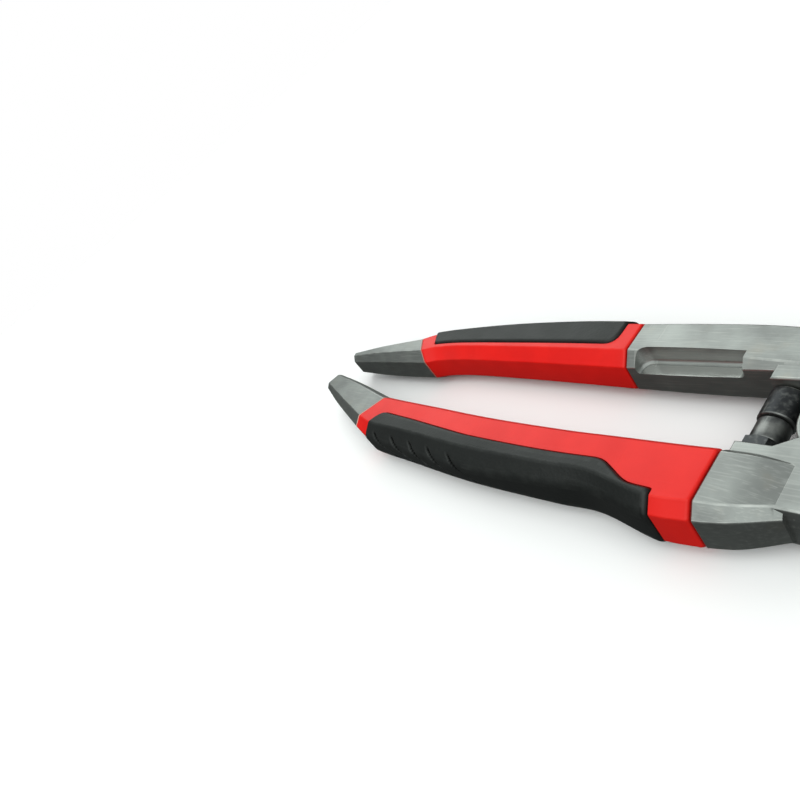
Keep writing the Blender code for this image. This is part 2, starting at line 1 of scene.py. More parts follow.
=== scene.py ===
"""Looks of compact lever-action bolt cutters with bare reaming tips on the handle ends.

Every shape is drafted in millimetres: the handle pivot is the origin, +X runs to the jaws and
z = 0 is the tool's mid-plane. An arm is drafted once, with u as the distance outwards from the
centre line, and side = -1 or +1 makes it the lower or the upper arm. A mesh moves onto the
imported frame, in metres, when it is made.
"""

from __future__ import annotations

import logging
import math
from collections.abc import Callable, Iterable, Sequence
from dataclasses import dataclass, field
from enum import Enum
from typing import Any, ClassVar

import bmesh
import bpy
from mathutils import Matrix, Vector

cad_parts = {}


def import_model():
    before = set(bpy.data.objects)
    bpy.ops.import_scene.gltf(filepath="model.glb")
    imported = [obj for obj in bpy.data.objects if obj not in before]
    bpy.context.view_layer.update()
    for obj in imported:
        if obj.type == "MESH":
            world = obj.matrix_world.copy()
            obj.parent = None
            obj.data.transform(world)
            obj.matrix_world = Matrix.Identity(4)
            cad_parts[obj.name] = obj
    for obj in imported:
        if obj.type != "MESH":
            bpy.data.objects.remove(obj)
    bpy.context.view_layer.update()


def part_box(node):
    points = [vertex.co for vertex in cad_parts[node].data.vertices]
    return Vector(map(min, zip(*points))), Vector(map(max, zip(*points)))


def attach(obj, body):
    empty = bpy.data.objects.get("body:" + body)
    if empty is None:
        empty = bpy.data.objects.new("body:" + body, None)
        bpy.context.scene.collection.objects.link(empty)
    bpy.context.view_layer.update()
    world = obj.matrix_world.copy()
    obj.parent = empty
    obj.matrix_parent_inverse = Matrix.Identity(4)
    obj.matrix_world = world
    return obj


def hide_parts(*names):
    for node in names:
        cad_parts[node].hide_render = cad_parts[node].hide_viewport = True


LOG = logging.getLogger("bolt_cutters")
MM = 0.001
FULL_TURN = 2.0 * math.pi
LONGEST_TANGENT = 0.48  # of the shorter side at a rounded corner
STRAIGHT = 0.5  # degrees; a corner that turns by less has no arc
FLATNESS = 0.02  # how near its height a face has to lie
LEVEL = 0.99  # the least |z| of a level face's normal
OVERCUT = 1.0  # how far a cutter runs past what it cuts
NOISE_MIDDLE = 0.5

Pair = tuple[float, float]
Triple = tuple[float, float, float]
Outline = list[Pair]
Piece = bpy.types.Object
Solid = bmesh.types.BMesh


# ---------------------------------------------------------------- node trees


def operators(operation: str) -> tuple[Callable[..., Wire], Callable[..., Wire]]:
    """Makes a Python operator of a Math node's operation.

    Args:
        operation: the operation.

    Returns:
        The operator for a wire that stands first, and its reflected form.
    """

    def first(wire: Wire, other: Value) -> Wire:
        """The wire, then the other."""
        return wire.tree.math(operation, wire, other)

    def reflected(wire: Wire, other: Value) -> Wire:
        """The other, then the wire."""
        return wire.tree.math(operation, other, wire)

    return first, reflected


class Wire:
    """A node's output socket, whose arithmetic adds Math nodes to its tree."""

    def __init__(self, tree: Tree, socket: bpy.types.NodeSocket) -> None:
        """Wraps an output socket of a tree."""
        self.tree = tree
        self.socket = socket

    __add__, __radd__ = operators("ADD")
    __sub__, __rsub__ = operators("SUBTRACT")
    __mul__, __rmul__ = operators("MULTIPLY")
    __truediv__, __rtruediv__ = operators("DIVIDE")
    __pow__, __rpow__ = operators("POWER")


Value = Wire | float | int | str | bool | Sequence[float]


class Tree:
    """A shader or geometry node tree that grows by one method."""

    def __init__(self, nodes: bpy.types.NodeTree) -> None:
        """Takes over an empty tree."""
        self.nodes = nodes

    def node(
        self,
        kind: str,
        values: dict[str | int, Any] | None = None,
        settings: dict[str, Any] | None = None,
        out: str | int = 0,
    ) -> Wire:
        """Adds a node.

        Args:
            kind: the node's type.
            values: what each input socket holds or is linked to, by name or place. A list links
                several wires to one socket.
            settings: the node's own options, set first.
            out: which output is wanted, by name or place.

        Returns:
            The wanted output.
        """
        made = self.nodes.nodes.new(kind)
        for key, setting in (settings or {}).items():
            setattr(made, key, setting)
        for key, value in (values or {}).items():
            socket = self.find(made.inputs, key)
            for single in value if isinstance(value, list) else [value]:
                if isinstance(single, Wire):
                    self.nodes.links.new(single.socket, socket)
                else:
                    socket.default_value = single
        return Wire(self, self.find(made.outputs, out))

    @staticmethod
    def find(sockets: Iterable[bpy.types.NodeSocket], key: str | int) -> bpy.types.NodeSocket:
        """Finds a socket among those in use.

        Args:
            sockets: a node's inputs or outputs.
            key: the socket's name or place.

        Returns:
            The socket.
        """
        usable = [socket for socket in sockets if socket.enabled]
        if isinstance(key, int):
            return usable[key]
        return next(socket for socket in usable if socket.name == key)

    def math(self, operation: str, *terms: Value) -> Wire:
        """Adds a Math node on one or two values."""
        return self.node("ShaderNodeMath", dict(enumerate(terms)), {"operation": operation})

    def ramp(
        self, value: Value, low: float, high: float, start: float = 0.0, end: float = 1.0
    ) -> Wire:
        """A smooth step of a value.

        Args:
            value: what is stepped.
            low: where the step begins.
            high: where it ends.
            start: the result below low.
            end: the result above high.

        Returns:
            The stepped value.
        """
        return self.node(
            "ShaderNodeMapRange",
            {"Value": value, "From Min": low, "From Max": high, "To Min": start, "To Max": end},
            {"interpolation_type": "SMOOTHSTEP"},
        )

    def attribute(self, name: str) -> Wire:
        """A number that the piece's mesh stores."""
        return self.node("ShaderNodeAttribute", settings={"attribute_name": name}, out="Fac")

    def noise(self, place: Wire, scale: float, detail: float) -> Wire:
        """Smooth noise from 0 to 1 at a number of features per metre."""
        values = {"Vector": place, "Scale": scale, "Detail": detail}
        return self.node("ShaderNodeTexNoise", values)

    def cells(self, place: Wire, scale: float) -> Wire:
        """How far a point lies from the middle of its cell, at a number of cells per metre."""
        return self.node("ShaderNodeTexVoronoi", {"Vector": place, "Scale": scale}, out="Distance")

    def stretched(self, place: Wire, scale: Triple, turn: Triple = (0.0, 0.0, 0.0)) -> Wire:
        """Coordinates stretched by a scale and turned, for streaks."""
        return self.node("ShaderNodeMapping", {"Vector": place, "Rotation": turn, "Scale": scale})

    def blend(self, factor: Value, first: Wire | Triple, second: Wire | Triple) -> Wire:
        """Mixes two colours.

        Args:
            factor: how much of the second shows, from 0 to 1.
            first: a colour.
            second: the other colour.

        Returns:
            The mix.
        """
        ends = [end if isinstance(end, Wire) else (*end, 1.0) for end in (first, second)]
        values = {"Factor": factor, "A": ends[0], "B": ends[1]}
        return self.node("ShaderNodeMix", values, {"data_type": "RGBA"})

    def close_with(self, kind: str, surface: Wire) -> None:
        """Ends a shader tree in an output node of a kind."""
        end = self.nodes.nodes.new(kind)
        self.nodes.links.new(surface.socket, end.inputs["Surface"])


def emptied(owner: bpy.types.Material | bpy.types.World) -> Tree:
    """Empties the node tree of a material or a world.

    Args:
        owner: the material or world.

    Returns:
        Its tree.
    """
    owner.use_nodes = True
    owner.node_tree.nodes.clear()
    return Tree(owner.node_tree)


class Recipe(Tree):
    """A geometry node tree with named inputs, run once on an object."""

    def __init__(self, name: str, inputs: dict[str, str]) -> None:
        """Starts the tree.

        Args:
            name: the tree's name.
            inputs: each size's name and the type of its socket.
        """
        group = bpy.data.node_groups.new(name, "GeometryNodeTree")
        super().__init__(group)
        group.interface.new_socket("Geometry", in_out="OUTPUT", socket_type="NodeSocketGeometry")
        self.keys = {}
        for label, kind in {"Geometry": "Geometry", **inputs, "Material": "Material"}.items():
            socket = group.interface.new_socket(label, in_out="INPUT", socket_type=f"NodeSocket{kind}")
            self.keys[label] = socket.identifier
        self.entry = group.nodes.new("NodeGroupInput")

    def port(self, label: str) -> Wire:
        """A named input of the tree."""
        return Wire(self, self.entry.outputs[label])

    def close(self, shape: Wire) -> None:
        """Ends the tree in plain geometry with its material.

        Args:
            shape: the geometry.
        """
        plain = self.node("GeometryNodeRealizeInstances", {"Geometry": shape})
        values = {"Geometry": plain, "Material": self.port("Material")}
        dressed = self.node("GeometryNodeSetMaterial", values)
        end = self.nodes.nodes.new("NodeGroupOutput")
        self.nodes.links.new(dressed.socket, end.inputs[0])

    def run(self, made: Piece, values: dict[str, Any]) -> None:
        """Runs the tree on an object and keeps the plain mesh.

        Args:
            made: the object whose mesh goes in.
            values: each named input's value.
        """
        modifier = made.modifiers.new(self.nodes.name, "NODES")
        modifier.node_group = self.nodes
        for label, value in values.items():
            modifier[self.keys[label]] = value
        freeze(made)


# ---------------------------------------------------------------- finishes


@dataclass
class Look:
    """A surface in the making: its tree, its coordinates and what it shows so far."""

    tree: Tree
    place: Wire
    colour: Wire
    rough: Wire
    relief: Wire


@dataclass(frozen=True)
class Blotches:
    """Where smooth noise shows.

    Scale counts its features per metre, and it fades in from low to high.
    """

    scale: float
    detail: float
    low: float
    high: float

    def mask(self, tree: Tree, place: Wire) -> Wire:
        """A mask, 1 inside a blotch."""
        return tree.ramp(tree.noise(place, self.scale, self.detail), self.low, self.high)


@dataclass(frozen=True)
class Finish:
    """A surface: broad drift of colour, fine grain, rubbed edges and hairline scratches.

    Patches and grain count noise features per metre, spread is how far the roughness strays, and
    grain_depth is in metres. Each scratch way is a stretch and a turn of the coordinates.
    """

    name: str
    slot: str
    colour: Triple
    drift: Triple
    worn: Triple
    metallic: float = 0.0
    roughness: float = 0.4
    spread: float = 0.1
    patches: float = 90.0
    grain: float = 2500.0
    grain_depth: float = 0.00002
    scratches: float = 0.3
    wear: float = 0.5
    specular: float = 0.5
    least_roughness: float = 0.08
    broad_detail: ClassVar[float] = 4.0
    fine_detail: ClassVar[float] = 2.0
    drift_ends: ClassVar[Pair] = (0.3, 0.7)
    rub_blotches: ClassVar[Blotches] = Blotches(300.0, 3.0, 0.25, 0.75)
    rub_gloss: ClassVar[float] = 0.1
    scratch_ways: ClassVar[tuple[tuple[Triple, Triple], ...]] = (
        ((60.0, 1500.0, 1500.0), (0.0, 0.0, 0.12)),
        ((1300.0, 90.0, 700.0), (0.0, 0.0, -0.5)),
    )
    hairline: ClassVar[Blotches] = Blotches(1.0, 1.0, 0.72, 0.76)
    scratch_blotches: ClassVar[Blotches] = Blotches(70.0, 2.0, 0.5, 0.62)
    scratch_blur: ClassVar[float] = 0.12
    scratch_depth: ClassVar[float] = 0.8

    def material(self) -> bpy.types.Material:
        """Builds the finish.

        Returns:
            A material that reads object coordinates and the piece's own attributes.
        """
        made = bpy.data.materials.new(self.name)
        tree = emptied(made)
        place = tree.node("ShaderNodeTexCoord", out="Object")
        broad = tree.noise(place, self.patches, self.broad_detail)
        fine = tree.noise(place, self.grain, self.fine_detail)
        rubbed = self.rubbed(tree, place)
        scratch = self.scratch(tree, place)

        colour = tree.blend(tree.ramp(broad, *self.drift_ends), self.colour, self.drift)
        colour = tree.blend(scratch * self.scratches, colour, self.worn)
        colour = tree.blend(rubbed * self.wear, colour, self.worn)
        rough = self.roughness + (broad - NOISE_MIDDLE) * self.spread * 2.0
        rough = rough + (fine - NOISE_MIDDLE) * self.spread
        rough = rough - rubbed * self.rub_gloss * self.wear + scratch * self.scratch_blur
        look = Look(tree, place, colour, rough, fine)
        self.layers(look)
        height = look.relief - scratch * self.scratch_depth
        bump = tree.node(
            "ShaderNodeBump", {"Strength": 1.0, "Distance": self.grain_depth, "Height": height}
        )
        shader = tree.node(
            "ShaderNodeBsdfPrincipled",
            {
                "Base Color": look.colour,
                "Metallic": self.metal(tree),
                "Roughness": tree.math("MAXIMUM", look.rough, self.least_roughness),
                "Specular IOR Level": self.specular,
                "Normal": bump,
            },
        )
        tree.close_with("ShaderNodeOutputMaterial", shader)
        return made

    def layers(self, look: Look) -> None:
        """Adds what a kind of finish has of its own; a plain one has nothing."""

    def metal(self, tree: Tree) -> Value:
        """How much the surface reflects in its own colour, as a metal does."""
        return self.metallic

    def rubbed(self, tree: Tree, place: Wire) -> Wire:
        """Where the edges have been rubbed, broken up by noise."""
        return tree.attribute("arris") * self.rub_blotches.mask(tree, place)

    def scratch(self, tree: Tree, place: Wire) -> Wire:
        """Sparse hairline scratches that mostly run along the tool.

        Args:
            tree: the material's tree.
            place: its coordinates.

        Returns:
            A mask, 1 on a scratch.
        """
        paths = [tree.stretched(place, *way) for way in self.scratch_ways]
        lines = [self.hairline.mask(tree, path) for path in paths]
        patch = self.scratch_blotches.mask(tree, place)
        return tree.math("MAXIMUM", *lines) * patch


@dataclass(frozen=True)
class MouldedShell(Finish):
    """Hard moulded plastic with a fine spark-eroded texture."""

    haze: Triple = (0.70, 0.040, 0.030)
    haze_blotches: ClassVar[Blotches] = Blotches(38.0, 3.0, 0.45, 0.75)
    haze_tint: ClassVar[float] = 0.1
    haze_blur: ClassVar[float] = 0.07
    grain_height: ClassVar[float] = 0.6
    spark_cells: ClassVar[float] = 1600.0
    spark_height: ClassVar[float] = 0.5

    def layers(self, look: Look) -> None:
        """Adds the mould's texture and a faint handling haze.

        Args:
            look: the surface, changed in place.
        """
        tree = look.tree
        hazy = self.haze_blotches.mask(tree, look.place)
        look.colour = tree.blend(hazy * self.haze_tint, look.colour, self.haze)
        look.rough = look.rough + hazy * self.haze_blur
        grain = look.relief * self.grain_height
        look.relief = grain + tree.cells(look.place, self.spark_cells) * self.spark_height


@dataclass(frozen=True)
class SoftPad(Finish):
    """Soft matt rubber, pebbled, with a little dust and painted shade in its grooves."""

    dust: Triple = (0.085, 0.082, 0.076)
    pebble: Triple = (0.004, 0.0045, 0.0045)
    # painted shade: the near-black colour that the grooves are turned to
    shade: Triple = (0.004, 0.004, 0.004)
    dust_blotches: ClassVar[Blotches] = Blotches(260.0, 5.0, 0.5, 0.75)
    dust_tint: ClassVar[float] = 0.04
    dust_blur: ClassVar[float] = 0.4
    pebble_cells: ClassVar[float] = 1150.0
    pebble_tint: ClassVar[float] = 0.25
    pebble_height: ClassVar[float] = 0.8
    grain_height: ClassVar[float] = 0.35
    painted_groove_shade: ClassVar[float] = 0.95
    groove_blur: ClassVar[float] = 0.45
    gloss: ClassVar[float] = 0.05

    def layers(self, look: Look) -> None:
        """Adds pebbles, dust and the painted shade of the grooves.

        Args:
            look: the surface, changed in place.
        """
        tree = look.tree
        groove = self.metal(tree)
        pebbles = tree.cells(look.place, self.pebble_cells)
        dusty = self.dust_blotches.mask(tree, look.place) * self.dust_tint
        look.colour = tree.blend(dusty, look.colour, self.dust)
        look.colour = tree.blend(pebbles * self.pebble_tint, look.colour, self.pebble)
        # painted shade: the grooves are turned towards the near-black shade colour
        look.colour = tree.blend(groove * self.painted_groove_shade, look.colour, self.shade)
        blur = look.rough + dusty * self.dust_blur + groove * self.groove_blur
        look.rough = blur - self.gloss
        look.relief = pebbles * self.pebble_height + look.relief * self.grain_height

    def metal(self, tree: Tree) -> Wire:
        """The grooves, made metallic so that their painted shade, a near-black colour, is all that
        shows there.
        """
        return tree.attribute("groove")


@dataclass(frozen=True)
class Steel(Finish):
    """Bare steel with grinding streaks; its machined faces are brighter and smoother."""

    streaks: Triple = (120.0, 2600.0, 2600.0)
    machined: Triple = (0.52, 0.52, 0.505)
    polish: float = 0.05
    warmth: Triple = (1.05, 0.88, 0.72)
    streak_detail: ClassVar[float] = 3.0
    streak_ends: ClassVar[Pair] = (0.45, 0.8)
    streak_tint: ClassVar[float] = 0.3
    streak_blur: ClassVar[float] = 0.22
    streak_height: ClassVar[float] = 0.9
    grain_height: ClassVar[float] = 0.5
    oxide_blotches: ClassVar[Blotches] = Blotches(150.0, 5.0, 0.55, 0.8)
    oxide_tint: ClassVar[float] = 0.35
    cut_tint: ClassVar[float] = 0.85

    def layers(self, look: Look) -> None:
        """Adds streaks, faint warm oxide and the machined faces.

        Args:
            look: the surface, changed in place.
        """
        tree, cut = look.tree, look.tree.attribute("machined")
        streak = tree.noise(tree.stretched(look.place, self.streaks), 1.0, self.streak_detail)
        oxide = self.oxide_blotches.mask(tree, look.place)
        warm = tuple(part * tone for part, tone in zip(self.colour, self.warmth))
        look.colour = tree.blend(oxide * self.oxide_tint * (1.0 - cut), look.colour, warm)
        streaky = tree.ramp(streak, *self.streak_ends) * self.streak_tint
        look.colour = tree.blend(streaky, look.colour, self.worn)
        look.colour = tree.blend(cut * self.cut_tint, look.colour, self.machined)
        uneven = (streak - NOISE_MIDDLE) * self.streak_blur
        look.rough = look.rough + uneven - cut * self.polish
        look.relief = look.relief * self.grain_height + streak * self.streak_height


@dataclass(frozen=True)
class Palette:
    """The tool's finishes."""

    shell: MouldedShell = MouldedShell(
        "red_shell_plastic", "red_shell", (0.80, 0.008, 0.005), (0.72, 0.006, 0.004),
        (0.82, 0.07, 0.055), roughness=0.37, spread=0.06, grain=3200.0, grain_depth=0.000012,
        scratches=0.2, wear=0.15, specular=0.28,
    )
    # the pale ring at a shell's end: its pale colour is a painted highlight
    painted_highlight_ring: MouldedShell = MouldedShell(
        "pale_highlight_ring", "red_shell", (0.72, 0.42, 0.35), (0.62, 0.34, 0.28), (0.80, 0.60, 0.52),
        roughness=0.45, spread=0.06, scratches=0.0, wear=0.1,
    )
    pad: SoftPad = SoftPad(
        "black_pad_rubber", "black_pad", (0.004, 0.0048, 0.0046), (0.0058, 0.0068, 0.0065),
        (0.05, 0.052, 0.05), roughness=0.56, spread=0.10, grain=4200.0, grain_depth=0.00004,
        scratches=0.1, wear=0.2, specular=0.42,
    )
    forged: Steel = Steel(
        "forged_satin_steel", "forged_steel", (0.30, 0.31, 0.30), (0.23, 0.235, 0.23),
        (0.55, 0.55, 0.53), metallic=0.92, roughness=0.40, spread=0.10, grain=1800.0,
        grain_depth=0.000012, scratches=0.4, wear=0.5, machined=(0.60, 0.60, 0.585), polish=0.2,
    )
    ground: Steel = Steel(
        "ground_blade_steel", "ground_steel", (0.30, 0.30, 0.295), (0.22, 0.22, 0.22),
        (0.60, 0.60, 0.58), metallic=1.0, roughness=0.33, spread=0.10, grain=2200.0,
        grain_depth=0.00001, scratches=0.5, wear=0.45, streaks=(2400.0, 130.0, 2400.0),
    )
    oxide: Steel = Steel(
        "black_oxide_steel", "black_fastener", (0.055, 0.057, 0.060), (0.035, 0.036, 0.040),
        (0.32, 0.32, 0.31), metallic=0.9, roughness=0.42, spread=0.12, grain=2600.0,
        grain_depth=0.00001, scratches=0.35, wear=0.7, streaks=(900.0, 900.0, 900.0),
    )


# ---------------------------------------------------------------- outlines and solids


def spaced(start: float, end: float, step: float) -> list[float]:
    """Even places from start to end, no further apart than step."""
    count = max(1, math.ceil(abs(end - start) / step))
    return [start + (end - start) * k / count for k in range(count + 1)]


def arc(centre: Pair, radius: float, start: float, end: float, step: float = 4.0) -> Outline:
    """Points of an arc in degrees, both ends included."""
    turns = (math.radians(turn) for turn in spaced(start, end, step))
    return [(centre[0] + radius * math.cos(a), centre[1] + radius * math.sin(a)) for a in turns]


def anticlockwise(points: Outline) -> Outline:
    """The outline in anticlockwise order."""
    area = sum(a[0] * b[1] - b[0] * a[1] for a, b in zip(points, points[1:] + points[:1]))
    return points if area > 0 else points[::-1]


def offset_outline(points: Outline, distance: float) -> Outline:
    """Moves a closed outline outwards, with mitred corners.

    Args:
        points: the outline, anticlockwise.
        distance: how far; inwards where it is negative.

    Returns:
        The moved outline.
    """
    moved = []
    for i, point in enumerate(points):
        here = Vector(point)
        d0 = (here - Vector(points[i - 1])).normalized()
        d1 = (Vector(points[(i + 1) % len(points)]) - here).normalized()
        n0, n1 = Vector((d0.y, -d0.x)), Vector((d1.y, -d1.x))
        moved.append(tuple(here + (n0 + n1) * (distance / (1.0 + n0.dot(n1)))))
    return moved


def quarter_round(radius: float, steps: int) -> list[Pair]:
    """The rows of a rounded end: how far each lies from it, and how far the outline grows there."""
    angles = [math.radians(90.0 * k / steps) for k in range(steps + 1)]
    return [(radius * (1 - math.cos(a)), -radius * (1 - math.sin(a))) for a in angles]


def rounded(points: Outline, radius: float, steps: int = 4, closed: bool = True) -> Outline:
    """Turns each corner of an outline into an arc.

    Args:
        points: the corners.
        radius: of the arcs, less where a side is short.
        steps: sides of each arc.
        closed: whether the last corner joins the first.

    Returns:
        The outline with steps + 1 points for each corner.
    """
    made: Outline = []
    count = len(points)
    for i, point in enumerate(points):
        if not closed and i in (0, count - 1):
            made.append(point)
            continue
        here = Vector(point)
        d0, d1 = here - Vector(points[i - 1]), Vector(points[(i + 1) % count]) - here
        shortest = min(d0.length, d1.length)
        d0.normalize()
        d1.normalize()
        turn = math.atan2(d0.cross(d1), d0.dot(d1))
        tangent = min(radius * math.tan(abs(turn) / 2), LONGEST_TANGENT * shortest)
        if abs(turn) < math.radians(STRAIGHT):
            made += [tuple(here - d0 * tangent * (1 - 2 * k / steps)) for k in range(steps + 1)]
            continue
        sign = math.copysign(1.0, turn)
        reach = tangent / math.tan(abs(turn) / 2)
        arm = Vector((d0.y, -d0.x)) * reach * sign
        centre = here - d0 * tangent - arm
        for k in range(steps + 1):
            swing = turn * k / steps
            cos, sin = math.cos(swing), math.sin(swing)
            made.append((centre.x + arm.x * cos - arm.y * sin, centre.y + arm.x * sin + arm.y * cos))
    return made


def loft(rings: Sequence[Sequence[Any]], tube: bool = False) -> Solid:
    """A closed solid through rings with the same number of points.

    Args:
        rings: the rings, in order.
        tube: whether the last ring joins the first, instead of two end caps.

    Returns:
        The solid, with its faces outwards.
    """
    bm = bmesh.new()
    made = [[bm.verts.new(point) for point in ring] for ring in rings]
    for before, after in zip(made, made[1:] + made[:1] if tube else made[1:]):
        for i, vert in enumerate(before):
            j = (i + 1) % len(before)
            bm.faces.new((vert, before[j], after[j], after[i]))
    if not tube:
        bm.faces.new(made[0])
        bm.faces.new(made[-1])
    bmesh.ops.recalc_face_normals(bm, faces=bm.faces)
    return bm


def plate(outline: Outline, low: float, high: float, ease: float = 0.0, side: int = 1) -> Solid:
    """A plate between two heights whose edges are eased.

    Args:
        outline: in (x, u).
        low: its lower face.
        high: its upper face.
        ease: the radius round its edges.
        side: -1 or +1, which side of the centre line u counts on.

    Returns:
        The plate.
    """
    points = anticlockwise(list(outline))
    levels: list[Pair] = [(low, 0.0), (high, 0.0)]
    if ease:
        foot = [(low + rise, grow) for rise, grow in quarter_round(ease, 3)]
        levels = foot + [(low + high - z, grow) for z, grow in reversed(foot)]
    rings = []
    for level, grow in levels:
        ring = offset_outline(points, grow) if grow else points
        rings.append([(x, u * side, level) for x, u in ring])
    return loft(rings)


def disc(centre: Pair, radius: float, low: float, high: float, step: float = 4.0) -> Solid:
    """A round plate."""
    return plate(arc(centre, radius, 0.0, 360.0 - step, step), low, high)


def linear(table: Sequence[Pair], at: float) -> float:
    """Reads a table between its rows.

    Args:
        table: rows of (share, value).
        at: the share.

    Returns:
        The value there.
    """
    for (s0, v0), (s1, v1) in zip(table, table[1:]):
        if at <= s1:
            return v0 + (v1 - v0) * (at - s0) / (s1 - s0)
    return table[-1][1]


# ---------------------------------------------------------------- the bench


def freeze(made: Piece) -> None:
    """Turns an object's modifiers into its plain mesh.

    Args:
        made: the object.
    """
    graph = bpy.context.evaluated_depsgraph_get()
    mesh = bpy.data.meshes.new_from_object(made.evaluated_get(graph))
    made.modifiers.clear()
    made.data = mesh


def linked(name: str, data: bpy.types.ID) -> Piece:
    """Makes an object in the scene.

    Args:
        name: its name.
        data: its mesh, light or camera.

    Returns:
        The object.
    """
    made = bpy.data.objects.new(name, data)
    bpy.context.scene.collection.objects.link(made)
    return made


@dataclass
class Bench:
    """Makes placed meshes from drafted ones and hands finished pieces to the frame."""

    origin: Vector
    materials: dict[str, bpy.types.Material] = field(default_factory=dict)

    def raw(self, name: str, bm: Solid) -> Piece:
        """Moves a drafted solid onto the frame, in metres.

        Args:
            name: the new object's name.
            bm: the solid, which is used up.

        Returns:
            The object.
        """
        bm.transform(Matrix.Translation(self.origin) @ Matrix.Scale(MM, 4))
        mesh = bpy.data.meshes.new(name)
        bm.to_mesh(mesh)
        bm.free()
        return linked(name, mesh)

    def carve(self, target: Piece, tools: Sequence[Solid], join: bool = False) -> None:
        """Cuts solids from a piece, or joins them to it.

        Args:
            target: the piece.
            tools: drafted solids.
            join: whether they are joined instead of cut.
        """
        helpers = [self.raw(f"{target.name}_tool", bm) for bm in tools]
        for helper in helpers:
            modifier = target.modifiers.new("carve", "BOOLEAN")
            modifier.operation = "UNION" if join else "DIFFERENCE"
            modifier.solver = "EXACT"
            modifier.object = helper
        freeze(target)
        for helper in helpers:
            bpy.data.objects.remove(helper, do_unlink=True)

    def surface(self, finish: Finish) -> bpy.types.Material:
        """Looks up a finish's material, made once.

        Args:
            finish: the finish.

        Returns:
            Its material.
        """
        if finish.name not in self.materials:
            self.materials[finish.name] = finish.material()
        return self.materials[finish.name]

    def deliver(
        self, made: Piece, body: str, finish: Finish, stands_for: str | None, sharp: float = 32.0
    ) -> Piece:
        """Finishes a piece and puts it on its body.

        Args:
            made: the piece.
            body: the CAD body it rides on.
            finish: its surface.
            stands_for: the CAD node it replaces, if there is one.
            sharp: edges that turn by more than this, in degrees, stay sharp.

        Returns:
            The piece.
        """
        mark_arrises(made)
        made.data.materials.clear()
        made.data.materials.append(self.surface(finish))
        for polygon in made.data.polygons:
            polygon.material_index = 0
        made.data.shade_smooth()
        made.data.set_sharp_from_angle(angle=math.radians(sharp))
        modifier = made.modifiers.new("normals", "WEIGHTED_NORMAL")
        modifier.keep_sharp = True
        freeze(made)
        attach(made, body)
        if stands_for:
            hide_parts(stands_for)
        LOG.info("%s: %d faces on %s", made.name, len(made.data.polygons), body)
        return made


def mark_arrises(made: Piece, widest: float = 0.42 * MM, turn: float = 6.0) -> None:
    """Marks the narrow faces that round an edge, for the finishes to wear.

    Args:
        made: the piece.
        widest: how wide such a face may be, in metres.
        turn: the least angle to a neighbour, in degrees.
    """
    bm = bmesh.new()
    bm.from_mesh(made.data)
    layer = bm.faces.layers.float.new("arris")
    least = math.radians(turn)
    for face in bm.faces:
        narrow = face.calc_area() / max(edge.calc_length() for edge in face.edges) < widest
        bends = (edge.is_manifold and edge.calc_face_angle(0.0) > least for edge in face.edges)
        if narrow and any(bends):
            face[layer] = 1.0
    bm.to_mesh(made.data)
    bm.free()


def mark_machined(made: Piece, bench: Bench, wanted: Callable[[Vector, Vector], bool]) -> None:
    """Marks a piece's machined faces, for the steel finishes.

    Args:
        made: the piece.
        bench: where it was made.
        wanted: tells them by a face's drafted middle and its normal.
    """
    layer = made.data.attributes.new("machined", "FLOAT", "FACE")
    for polygon in made.data.polygons:
        middle = (polygon.center - bench.origin) / MM
        layer.data[polygon.index].value = float(wanted(middle, polygon.normal))


def lies_at(middle: Vector, normal: Vector, height: float) -> bool:
    """Whether a face is level and at a height."""
    return abs(middle.z - height) < FLATNESS and abs(normal.z) > LEVEL


# ---------------------------------------------------------------- turned pieces


class PrismUse(Enum):
    """What the hexagonal prism does to a turned blank."""

    NONE = "NONE"
    SOCKET = "DIFFERENCE"
    FLATS = "INTERSECT"


